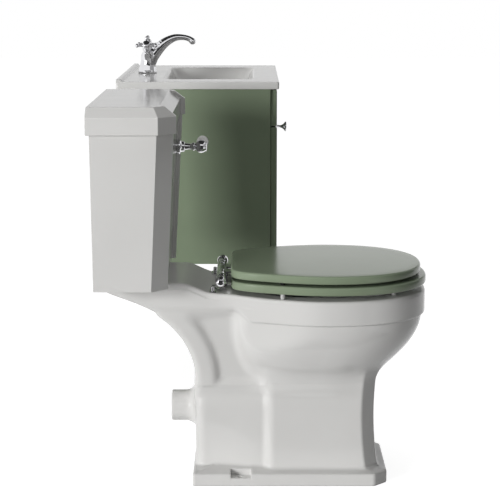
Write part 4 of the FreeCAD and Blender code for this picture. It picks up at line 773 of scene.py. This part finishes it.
def resample(outline, count):
    """Points at even spacing round a closed outline."""
    loop = np.vstack([outline, outline[:1]])
    reach = np.concatenate([[0], np.cumsum(np.linalg.norm(np.diff(loop, axis=0), axis=1))])
    wanted = np.linspace(0, reach[-1], count, endpoint=False)
    return np.stack([np.interp(wanted, reach, loop[:, axis]) for axis in range(2)], 1)


def seat_outline(front):
    """Outline of the seat: round in front, tapering to a straight back with tight corners."""
    corner_power = 12
    taper_power = 1.6
    turn = np.linspace(0, math.pi / 2, 60)
    round_x = np.sin(turn) ** (2 / ROUND_POWER) * SEAT_HALF
    round_out = SEAT_WIDEST + np.cos(turn) ** (2 / ROUND_POWER) * (front - SEAT_WIDEST)
    corner = np.radians(np.linspace(4, 86, 60))
    across = np.concatenate([np.ones(30), np.cos(corner) ** (2 / corner_power), np.linspace(0.6, 0, 10)])
    along = np.concatenate([np.linspace(0.02, 0.62, 30), np.sin(corner) ** (2 / corner_power), np.ones(10)])
    side_x = across * (SEAT_HALF - SEAT_TAPER * along ** taper_power)
    side_out = SEAT_WIDEST - along * (SEAT_WIDEST - SEAT_BACK)
    right = np.stack([np.concatenate([round_x, side_x]), -np.concatenate([round_out, side_out])], 1)
    left = right[-2:0:-1] * (-1, 1)
    return resample(np.concatenate([right, left]), SEAT_POINTS)


def seat():
    """Painted ring and lid with rounded edges; the lid's top rises slightly to its middle."""
    ring_bottom = 425
    ring_top = 443
    lid_bottom = 449
    lid_top = 467
    lid_rise = 0.8
    lid_setback = 12
    edge_radius = 4.5
    hole_radius = 7.5
    outer = seat_outline(SEAT_FRONT)
    hole = oval(half=118, back=350, front=635, widest=SEAT_WIDEST)[::-1]
    hole = resample(np.roll(hole, -int(np.argmin(hole[:, 1])), 0), SEAT_POINTS)
    edge = rounded_edge(ring_bottom, ring_top, edge_radius)
    rings = [at_height(inset(outer, depth), z) for depth, z in edge]
    hole_edge = rounded_edge(ring_bottom, ring_top - 1, hole_radius)
    inner = [at_height(inset(hole, -depth), z) for depth, z in hole_edge]
    piece(["seat_ring"], [loft(rings + inner[::-1], closed=True)], TOILET)
    lid = seat_outline(SEAT_FRONT - lid_setback)
    edge = rounded_edge(lid_bottom, lid_top - lid_rise, edge_radius)
    rings = [at_height(inset(lid, depth), z) for depth, z in edge]
    top = inset(lid, edge[-1][0])
    middle = top.mean(0)
    for share in (0.9, 0.75, 0.55, 0.3, 0.08):
        rings.append(at_height(middle + (top - middle) * share, lid_top - lid_rise * share ** 2))
    piece(["seat_lid"], [loft(rings)], TOILET)


def seat_buffers():
    """Four small feet under the ring and four under the lid; the lid's are black rubber, which also paints
    the shade of the gap between ring and lid.
    """
    places = ((152, -391), (108, -623))
    # The lid's buffers are black rubber, which is real, but their darkness also paints the shade of the gap
    # under the lid.
    for node, base, height, slot in (("ring_buffers", 413.3, 11.7, None),
                                     ("lid_buffers", 443.3, 5.7, "rubber")):
        shells = []
        profile = [(0, 3.6), (0.8, 4.6), (2, 5), (height - 1, 5), (height, 5.2)]
        for x, y in places:
            for side in (-1, 1):
                shells.append(lathe(profile, (side * x, y, base), UP, 24))
        piece([node], shells, TOILET, slot=slot, material=None if slot else BUFFER_FINISH)


def seat_hinge():
    """Fixed rod with ball ends, plates with a peg behind it and straps that carry the ring and lid."""
    y, z = HINGE
    rod = [(-107, 9.6), (-106.4, 10), (106.4, 10), (107, 9.6)]
    piece(["hinge_rod"], [lathe(rod, (0, y, z), ACROSS)], TOILET)
    finial = [(105, 7.2), (105.4, 10), (106.2, 10.8), (108.4, 10.8), (109.2, 10), (110, 7.4)]
    finial += ball(117.5, 12, -52, 88)
    piece(["hinge_finials"], [lathe(finial, (0, y, z), (side, 0, 0)) for side in (-1, 1)], TOILET)
    foot_x = 77.5
    peg_x = 104
    half = 7
    eye = [(-half, 10), (-6.7, 10.3), (6.7, 10.3), (half, 10)]
    foot = [(0, half), (4.4, half), (5.4, 6), (6, 3), (6.1, 0.4)]
    peg = [(0, 4.2), (12, 4.2), (12.8, 3.8), (13.2, 2.6)]
    deck = deck_height(-POST_Y) - 1
    plate_top = deck + 3.4
    plate_front = y - 9
    plate_back = POST_Y - 6
    upright_front = y - 8.2
    upright_back = y - 2
    upright_half = 6
    shells = []
    for side in (-1, 1):
        x = foot_x * side
        outer = peg_x * side
        shells.append(lathe(eye, (x, y, z), ACROSS))
        shells.append(lathe(foot, (x, POST_Y, deck), UP, 32))
        shells.append(lathe(peg, (outer, POST_Y, deck), UP, 32))
        low, high = sorted((x - half * side, outer + half * side))
        shells.append(block((low, POST_Y - half, deck), (high, POST_Y + half, plate_top)))
        shells.append(block((x - half, plate_front, deck), (x + half, plate_back, plate_top)))
        shells.append(block((x - upright_half, upright_front, plate_top - 1),
                            (x + upright_half, upright_back, z)))
    piece(["hinge_pillars"], shells, TOILET, bevel=0.5)
    strap_reach = 50
    strap_thickness = 3
    leg_thickness = 6
    for node, spacing, strap, leg, strap_half in (("ring_brackets", 100, 422, 422, 7),
                                                  ("lid_brackets", 50, 446, 440, 17)):
        shells = []
        for x in (-spacing / 2, spacing / 2):
            shells.append(lathe(eye, (x, y, z), ACROSS))
            shells.append(block((x - strap_half, y - strap_reach, strap),
                                (x + strap_half, y - half, strap + strap_thickness)))
            shells.append(block((x - half, y - half - leg_thickness, leg), (x + half, y - half, z)))
        piece([node], shells, TOILET, bevel=0.6)


# Basin and waste


def basin():
    """Slab with a sloped rectangular bowl, its shell below, and a raised edge along the wall."""
    slab_length = 600
    slab_breadth = 393
    slab_corner = 5
    slab_bottom = 792.6
    lip_length = 420
    lip_breadth = 220
    floor_length = 300
    floor_breadth = 164
    bowl_corner = 34
    shell = 11

    def bowl(share, grow, z):
        """Outline of the bowl, from its lip at 0 to its floor at 1."""
        length = between(lip_length, floor_length, share) + 2 * grow
        breadth = between(lip_breadth, floor_breadth, share) + 2 * grow
        return at_height(rounded_rectangle(length, breadth, bowl_corner + grow, BOWL_Y), z)

    def slab(depth, z):
        """Outline of the slab, drawn in by a depth."""
        length = slab_length - 2 * depth
        breadth = slab_breadth - 2 * depth
        return at_height(rounded_rectangle(length, breadth, slab_corner, -slab_breadth / 2), z)

    def circle(radius, z):
        """Round ring with the point count of the bowl, for the waste hole."""
        ring = []
        for x, y, _ in bowl(1.0, 0, z):
            reach = math.hypot(x, y - BOWL_Y)
            ring.append((x / reach * radius, BOWL_Y + (y - BOWL_Y) / reach * radius, z))
        return ring

    inside = [(1.22, 701), (1.1, 701.6), (1.02, 704), (0.96, 709), (0.9, 718), (0.78, 745), (0.62, 770),
              (0.45, 787), (0.25, 799), (0.1, 805.6), (0.02, 808.8), (-0.05, 810.4),
              (-0.11, BASIN_TOP), (-0.16, BASIN_TOP)]
    edge = [(6, BASIN_TOP), (2.6, BASIN_TOP), (0.8, 810.2), (0, 808.4), (0, 795), (0.8, 793.4),
            (2.6, slab_bottom), (6, slab_bottom)]
    outside = [(0.1, slab_bottom), (0.9, 706), (1.02, 695), (1.15, 690)]
    rings = [circle(23, 690), circle(23, 699.6), circle(32, 700.4)]
    rings += [bowl(share, 0, z) for share, z in inside]
    rings += [slab(depth, z) for depth, z in edge]
    rings += [bowl(share, shell, z) for share, z in outside]
    ends = ((299.6, 0.1), (298, 0.5), (295, 0.8), (290, 0.95), (284, 1))
    run = [(-x, share) for x, share in ends] + [(x, share) for x, share in reversed(ends)]
    rise = ((-14.8, 1.4), (-13.4, 3.6), (-12, 5.2), (-9.6, 6), (-3, 6), (-1, 5.4), (-0.4, 4))
    ridge = []
    for x, share in run:
        outline = [(-0.4, 806), (-18, 806), (-17, 810.8)]
        outline += [(y, BASIN_TOP + height * share) for y, height in rise]
        ridge.append([(x, y, z) for y, z in outline])
    piece(["basin"], [loft(rings, closed=True), loft(ridge)], VANITY, flatten=True)


def waste():
    """Flanged waste pipe and the plug that covers it."""
    foot = (0, BOWL_Y, 0)
    flange = [(639, 20), (698, 20), (699, 22), (700.6, 31.4), (702, 32), (703.4, 31), (704, 28), (703, 20),
              (700, 16), (639, 16)]
    piece(["waste_body"], [lathe(flange, foot, UP, 48, closed=True)], VANITY)
    plug = [(670.3, 3.5), (702, 3.5), (703.4, 8), (704.4, 27), (705.4, 29), (706.6, 28.4), (707.6, 24),
            (708.4, 12), (708.6, 0.5)]
    piece(["waste_plug"], [lathe(plug, foot, UP, 48)], VANITY)


# Basin tap


def tap_spout(x, y, up):
    """Swan neck through (reach, rise, radius) points."""
    route = curve([(10, 40, 17), (29, 62.5, 14.6), (47, 79, 12.2), (70, 90.4, 9.2), (92, 91.8, 7.2),
                   (108, 88, 7), (117, 81.5, 8.4)], 4)
    spout = np.full(np.shape(x), 1e3)
    for (out, rise, thick), (next_out, next_rise, next_thick) in zip(route, route[1:]):
        run = np.array((out - next_out, next_rise - rise))
        dy = y - TAP_Y + out
        dz = up - rise
        share = np.clip((dy * run[0] + dz * run[1]) / (run @ run), 0, 1)
        gap = np.sqrt(x ** 2 + (dy - share * run[0]) ** 2 + (dz - share * run[1]) ** 2)
        spout = np.minimum(spout, gap - between(thick, next_thick, share))
    return spout


def tap_field(x, y, z):
    """Bell base, two leaning valve arms and a swan-neck spout that taper into each other."""
    bell_top = 54
    bell_heights = (0, 5, 8, 14, 24, 34, 44, bell_top)
    bell_radii = (24, 24, 22.5, 21, 18.6, 16.6, 15.6, 15)
    bell_lean = 0.92
    arm_end = 33
    arm_lengths = (0, 20, 30, 34)
    arm_radii = (10.5, 10.5, 9.4, 9.2)
    up = z - BASIN_TOP
    bell = (np.hypot(x, y - TAP_Y) - np.interp(up, bell_heights, bell_radii)) * bell_lean
    bell = smooth_max(bell, -up, 1.5)
    bell = smooth_max(bell, up - bell_top, 14)
    shape = smooth_min(bell, tap_spout(x, y, up), 14)
    rise = z - TAP_ARM_Z
    along = np.abs(x) * math.cos(TAP_TILT) + rise * math.sin(TAP_TILT)
    across = -np.abs(x) * math.sin(TAP_TILT) + rise * math.cos(TAP_TILT)
    arm = np.hypot(across, y - TAP_Y) - np.interp(along, arm_lengths, arm_radii)
    arm = smooth_max(np.maximum(arm, -along), along - arm_end, 2)
    return smooth_min(shape, arm, 9)


def tap():
    """Tap body, its two bonnets with stems, and two handles of four spokes with ball ends."""
    step = 1.5
    low = (-46, -196, 808)
    high = (46, -26, 918)
    spokes_at = 50
    blended_piece(["tap_body"], tap_field, low, high, step, VANITY)
    foot = Vector((0, TAP_Y, TAP_ARM_Z))
    hub = [(40.3, 8.5), (41.4, 8.6), (42.4, 7.4), (44, 7), (46, 8.2), (49, 9.2), (54, 9.2), (57, 8.4),
           (58.6, 8.8), (60.4, 8.6), (61.4, 7.4), (62, 4), (62.2, 0.4)]
    spoke = [(6, 4.2), (9, 3.6), (14, 2.8), (17, 2.8), (18, 4), (19, 4), (19.6, 3)]
    spoke += ball(24, 5, -50, 86)
    bonnet = [(30, 8.6), (33.4, 8.8), (33.8, 10.4), (36, 10.6), (37, 9.8), (38, 8.6), (40, 8.2), (40.1, 4),
              (53, 4)]
    bonnets = []
    for side, name in ((-1, "left"), (1, "right")):
        axis = Vector((side * math.cos(TAP_TILT), 0, math.sin(TAP_TILT)))
        leaning = Vector((-side * math.sin(TAP_TILT), 0, math.cos(TAP_TILT)))
        shells = [lathe(hub, foot, axis)]
        for direction in (leaning, -leaning, Vector((0, 1, 0)), Vector((0, -1, 0))):
            shells.append(lathe(spoke, foot + axis * spokes_at, direction, 24))
        piece([f"tap_{name}_handle"], shells, VANITY)
        bonnets.append(lathe(bonnet, foot, axis))
    piece(["tap_valves"], bonnets, VANITY, slot="chrome")


# Cabinet and drawer


def box_piece(node, bevel, drawn_in=0):
    """Panel with softened edges in a node's own place, drawn in a little at both ends."""
    start, end = [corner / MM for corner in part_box(node)]
    start.x += drawn_in
    end.x -= drawn_in
    piece([node], [block(start, end)], Vector((0, 0, 0)), bevel=bevel)


def vanity_cabinet():
    """Carcass panels, fronts that leave a shadow line at the sides, drawer box and flared knob."""
    for node in ("cabinet_left_side", "cabinet_right_side", "cabinet_bottom", "cabinet_back_rail",
                 "cabinet_front_rail"):
        box_piece(node, 0.8)
    for node in ("fascia_panel", "drawer_front"):
        box_piece(node, 3, drawn_in=8)
    for node in ("drawer_left_side", "drawer_right_side", "drawer_back", "drawer_bottom"):
        box_piece(node, 0.6)
    low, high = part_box("drawer_knob")
    foot = (low + high) / 2 / MM
    foot.y = high.y / MM
    knob = curve([(0, 9.5), (1.6, 9.5), (2.6, 8), (5, 5), (11, 3.6), (17, 4.4), (22, 8), (25.6, 12.4),
                  (27.4, 13), (28.8, 12.4), (29.6, 9), (30, 0.6)], 4)
    piece(["drawer_knob"], [lathe(knob, foot, FORWARD, 48)], Vector((0, 0, 0)))


# Camera, light and stage

CAMERA_AT = (-3.64286, 0.02247, 1.09556)
CAMERA_DOWN = math.radians(10.655)
CAMERA_TURN = math.radians(0.066)
CAMERA_LENS = 110.49
CAMERA_SENSOR = 36


def add_camera():
    """Camera at the photograph's viewing angle, looking a little down."""
    data = bpy.data.cameras.new("camera")
    data.lens = CAMERA_LENS
    data.sensor_width = CAMERA_SENSOR
    item = bpy.data.objects.new("camera", data)
    item.location = CAMERA_AT
    ahead = Vector((math.cos(CAMERA_DOWN) * math.cos(CAMERA_TURN),
                    math.cos(CAMERA_DOWN) * math.sin(CAMERA_TURN), -math.sin(CAMERA_DOWN)))
    item.rotation_euler = ahead.to_track_quat("-Z", "Y").to_euler()
    bpy.context.scene.collection.objects.link(item)
    bpy.context.scene.camera = item


def seen_directly(nodes, links):
    """One for rays from the camera, off gloss or through glass, and nought for scattered light."""
    rays = nodes.new("ShaderNodeLightPath")
    share = rays.outputs["Is Camera Ray"]
    for name in ("Is Glossy Ray", "Is Transmission Ray"):
        larger = nodes.new("ShaderNodeMath")
        larger.operation = "MAXIMUM"
        links.new(share, larger.inputs[0])
        links.new(rays.outputs[name], larger.inputs[1])
        share = larger.outputs[0]
    return share


def add_world():
    """White where the camera, gloss or glass looks, and a low even light on the object."""
    ambient = 0.07
    world = bpy.data.worlds.new("studio")
    bpy.context.scene.world = world
    world.use_nodes = True
    nodes = world.node_tree.nodes
    links = world.node_tree.links
    fill = nodes["Background"]
    fill.inputs["Color"].default_value = (1, 1, 1, 1)
    fill.inputs["Strength"].default_value = ambient
    shown = nodes.new("ShaderNodeBackground")
    shown.inputs["Color"].default_value = (1, 1, 1, 1)
    shown.inputs["Strength"].default_value = 1
    mixer = nodes.new("ShaderNodeMixShader")
    links.new(seen_directly(nodes, links), mixer.inputs["Fac"])
    links.new(fill.outputs[0], mixer.inputs[1])
    links.new(shown.outputs[0], mixer.inputs[2])
    links.new(mixer.outputs[0], nodes["World Output"].inputs["Surface"])


def add_lamp(name, place, aim, width, height, watts):
    """Soft rectangular lamp, left out of reflections because the cards stand in for it there."""
    data = bpy.data.lights.new(name, "AREA")
    data.shape = "RECTANGLE"
    data.size = width
    data.size_y = height
    data.energy = watts
    item = bpy.data.objects.new(name, data)
    item.location = place
    item.rotation_euler = (Vector(aim) - Vector(place)).to_track_quat("-Z", "Y").to_euler()
    item.visible_glossy = False
    bpy.context.scene.collection.objects.link(item)


def flat_sheet(name, corners, material):
    """Flat piece of the stage."""
    mesh = bpy.data.meshes.new(name)
    mesh.from_pydata(corners, [], [(0, 1, 2, 3)])
    mesh.materials.append(material)
    item = bpy.data.objects.new(name, mesh)
    bpy.context.scene.collection.objects.link(item)
    return item


def floor_finish():
    """Pale floor that shows white where nothing shades it, most of all far from the object."""
    near = 1.2
    near_level = 0.9
    far = 5.0
    far_level = 0.975
    material = surface("pale_floor", (0.49, 0.49, 0.49), (0.51, 0.51, 0.51), (0.6, 0.7), patch=1, grain=8,
                       bump=0.01)
    nodes = material.node_tree.nodes
    links = material.node_tree.links
    nodes["Principled BSDF"].inputs["Specular IOR Level"].default_value = 0
    place = nodes.new("ShaderNodeTexCoord")
    away = nodes.new("ShaderNodeVectorMath")
    away.operation = "LENGTH"
    links.new(place.outputs["Object"], away.inputs[0])
    level = nodes.new("ShaderNodeMapRange")
    level.inputs["From Min"].default_value = near
    level.inputs["From Max"].default_value = far
    level.inputs["To Min"].default_value = near_level
    level.inputs["To Max"].default_value = far_level
    links.new(away.outputs["Value"], level.inputs["Value"])
    strength = nodes.new("ShaderNodeMath")
    strength.operation = "MULTIPLY"
    links.new(seen_directly(nodes, links), strength.inputs[0])
    links.new(level.outputs["Result"], strength.inputs[1])
    glow = nodes.new("ShaderNodeEmission")
    links.new(strength.outputs[0], glow.inputs["Strength"])
    total = nodes.new("ShaderNodeAddShader")
    links.new(nodes["Principled BSDF"].outputs[0], total.inputs[0])
    links.new(glow.outputs[0], total.inputs[1])
    links.new(total.outputs[0], nodes["Material Output"].inputs["Surface"])
    return material


def add_stage():
    """Floor, and glowing cards that only gloss and metal see, which paint the reflections around the
    object: each has a level and four corners.
    """
    half = 14
    flat_sheet("floor", [(-half, -half, 0), (half, -half, 0), (half, half, 0), (-half, half, 0)],
               floor_finish())
    # The dark cards paint dark reflections in the chrome and glaze, front_card a grey one, sky_card the
    # grey sheen on tops seen at a grazing angle, and key_card the highlight of the key lamp.
    cards = {
        "front_card": (0.35, [(-3.2, -2.4, 0), (1.0, -2.4, 0), (1.0, -2.4, 3.0), (-3.2, -2.4, 3.0)]),
        "back_card": (0.05, [(3.6, -3, 1.7), (3.6, 3, 1.7), (3.6, 3, 4.4), (3.6, -3, 4.4)]),
        "top_card": (0.03, [(-4, -3, 4.4), (3.6, -3, 4.4), (3.6, 3, 4.4), (-4, 3, 4.4)]),
        "camera_card": (0.04, [(-1.6, -1.0, 0), (-1.6, 1.0, 0), (-1.6, 1.0, 1.3), (-1.6, -1.0, 1.3)]),
        "low_card": (0.05, [(-1.6, -0.8, 0.003), (-0.72, -0.8, 0.003), (-0.72, 0.9, 0.003),
                            (-1.6, 0.9, 0.003)]),
        "sky_card": (0.8, [(1.2, -0.9, 0.84), (1.2, 0.9, 0.84), (1.2, 0.9, 1.5), (1.2, -0.9, 1.5)]),
        "key_card": (4.0, [(-5.2, 3.2, 0.1), (-3.6, 4.6, 0.1), (-3.6, 4.6, 2.4), (-5.2, 3.2, 2.4)]),
    }
    for name, (level, corners) in cards.items():
        card = flat_sheet(name, corners, card_finish(name, level))
        card.visible_camera = False
        card.visible_diffuse = False
        card.visible_shadow = False
        card.visible_transmission = False


def card_finish(name, level):
    """Even glow of a studio card, which only gloss and metal see: it paints a reflection, dark or bright by
    its level, and lights nothing.
    """
    material = bpy.data.materials.new(name)
    material.use_nodes = True
    shader = material.node_tree.nodes["Principled BSDF"]
    shader.inputs["Base Color"].default_value = (0, 0, 0, 1)
    shader.inputs["Specular IOR Level"].default_value = 0
    shader.inputs["Emission Color"].default_value = (1, 1, 1, 1)
    shader.inputs["Emission Strength"].default_value = level
    return material


def add_lights():
    """Key lamp from the left rear, with weak lamps above and beside the camera."""
    add_lamp("key", place=(-7.45, 6.7, 1.75), aim=(0, 0.1, 0.55), width=3.0, height=3.4, watts=800)
    add_lamp("top", place=(-0.3, 0.2, 4.0), aim=(0, 0, 0.4), width=3.0, height=3.0, watts=36)
    add_lamp("camera_side", place=(-6.0, 0.4, 1.8), aim=(0, 0, 0.5), width=3.0, height=3.0, watts=27)


toilet_pan()
cistern()
flush_lever()
seat()
seat_buffers()
seat_hinge()
basin()
waste()
tap()
vanity_cabinet()
for name, node in frame["nodes"].items():
    node.material_slots[0].material = FINISH[SLOT_OF[name]]
add_camera()
add_world()
add_lights()
add_stage()
bpy.context.scene.view_settings.view_transform = "Standard"
